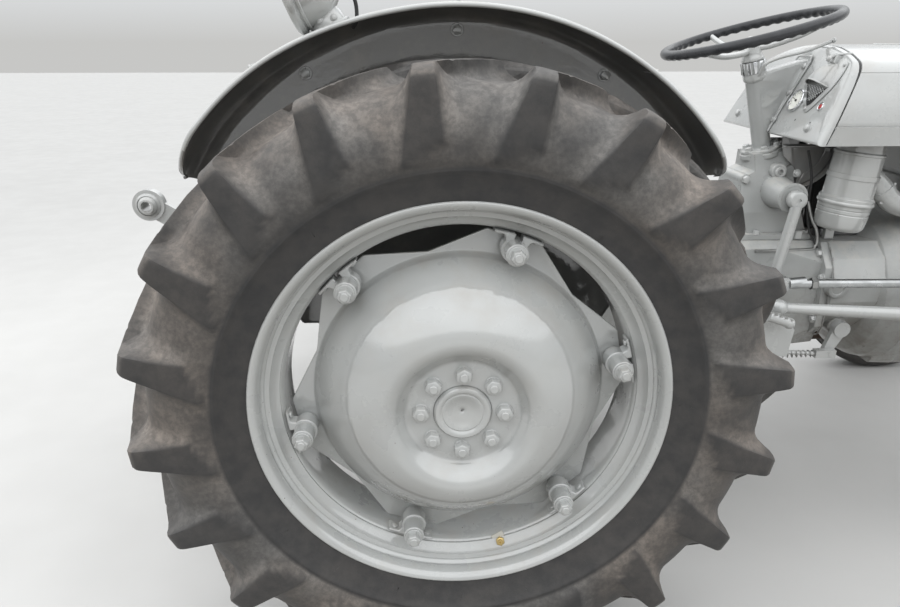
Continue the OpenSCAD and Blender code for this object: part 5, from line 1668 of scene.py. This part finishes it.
def linkage(side, s):
    """The lower link's ball, the lift rod's collars and the lower pivot's nut"""
    foot = Vector((60, s * 230, 400))
    a = radians(34.7)
    along = Vector((-cos(a), 0, sin(a)))
    ball = toward(foot + along * 874 + Vector((0, s * 120, 0)), (0, 1, 0))
    collar = lathe([(22, -16), (27, -12), (27, 12), (22, 16)], 40)
    ring = lathe([(11.4, -24), (15, -23.4), (15, 23.4), (11.4, 24)], 32, True)
    make("link_ball_" + side, merged(moved(collar, ball), moved(ring, ball)), "grey_paint",
         "lower_link_" + side)
    rise = radians(25)
    top = Vector((-110, s * 186, 800)) + Vector((-240 * cos(rise), 0, 240 * sin(rise)))
    down = foot + along * 367.08 + Vector((0, s * 32.4, 0)) - top
    parts = []
    for k, r in ((0.16, 15), (0.3, 18), (0.46, 18), (0.62, 15)):
        parts.append(aimed(lathe([(11, -9), (r, -8), (r, 8), (11, 9)], 32), top + down * k, down))
    grip = tube([top + down * 0.3, top + down * 0.46], 15.6, 24)
    make("rod_collars_" + side, merged(*parts, grip), "bright_steel", "lift_rod_" + side, "bolt_zinc")
    nut = aimed(merged(washer(17, 3), hexagon(22, 10, 6)), (60, s * 262, 400), (0, s, 0))
    make("pivot_nuts_" + side, nut, "bright_steel", look="bolt_zinc")


def foot_fittings(side, s):
    """The footrest's bars, the pedal's ribs and its return spring"""
    bars = [block(626 + 22 * i, 196, 634 + 22 * i, 384, 437, 442, 1.2) for i in range(9)]
    make("rest_bars_" + side, mirrored(merged(*bars), s))
    ribs = [tube([(787 + 14 * i, 316, 609.6 - 5 * i), (787 + 14 * i, 344, 609.6 - 5 * i)], 2.2, 6)
            for i in range(5)]
    turns = [Vector((1006 - 26 * i / 12, 201, 432)) for i in range(49)]
    turns = [p + Vector((0, 9 * cos(i * pi / 3), 9 * sin(i * pi / 3))) for i, p in enumerate(turns)]
    make("pedal_bits_" + side, mirrored(merged(*ribs, tube(turns, 1.6, 6)), s), "bright_steel",
         look="bolt_zinc")


def small_fittings():
    """Exhaust clamps, the power take-off's cap, the gear lever's boot and knob, and the tank's cap"""
    bands = []
    for x, y, z, r in ((1440, 154, 800, 24), (760, 158, 336, 50), (460, 164, 333, 50),
                       (900, 160, 337, 25)):
        way = (0, 0, 1) if x == 1440 else (-1, 0.02, 0)
        bands.append(aimed(lathe([(r - 2, -8), (r, -7), (r, 7), (r - 2, 8)], 40), (x, y, z), way))
    make("exhaust_bands", merged(*bands), "rusty_iron")
    cap = aimed(lathe([(17, 0), (24, 2), (24, 34), (20, 40), (8, 42), (0.01, 42)], 40),
                (-232, 0, 540), (-1, 0, 0))
    splines = ring_of(slab([(-1, -2), (2.4, -1.4), (2.4, 1.4), (-1, 2)], -8, 0, 0.3), 12, 14)
    make("takeoff_cap", cap)
    make("takeoff_splines", aimed(splines, (-250, 0, 540), (1, 0, 0)), "bright_steel")
    boot = lathe([(44, 0), (46, 4), (38, 16), (41, 22), (32, 32), (35, 38), (24, 50), (12, 56),
                  (8, 58)], 40)
    make("lever_boot", shifted(boot, 470, 0, 756), "dark_paint", look="black_strip")
    knob = lathe([(0.01, -20.6), (12, -17), (19.6, -6), (20.6, 0), (19.6, 6), (12, 17), (0.01, 20.6)], 32)
    make("lever_knob", shifted(knob, 430, 0, 1010), "dark_paint", look="helm_rubber")
    filler = lathe([(26, 1186), (26, 1196), (32, 1198), (32, 1206), (28, 1209), (0.01, 1210)], 40)
    make("tank_cap", shifted(filler, 1100, 0, 0), "dark_paint")


engine_fittings()
radiator_fittings()
for side, s in SIDES:
    drop_arm(side, s)
    link_nuts(side, s)
    axle_fittings(side, s)
    linkage(side, s)
    foot_fittings(side, s)
small_fittings()
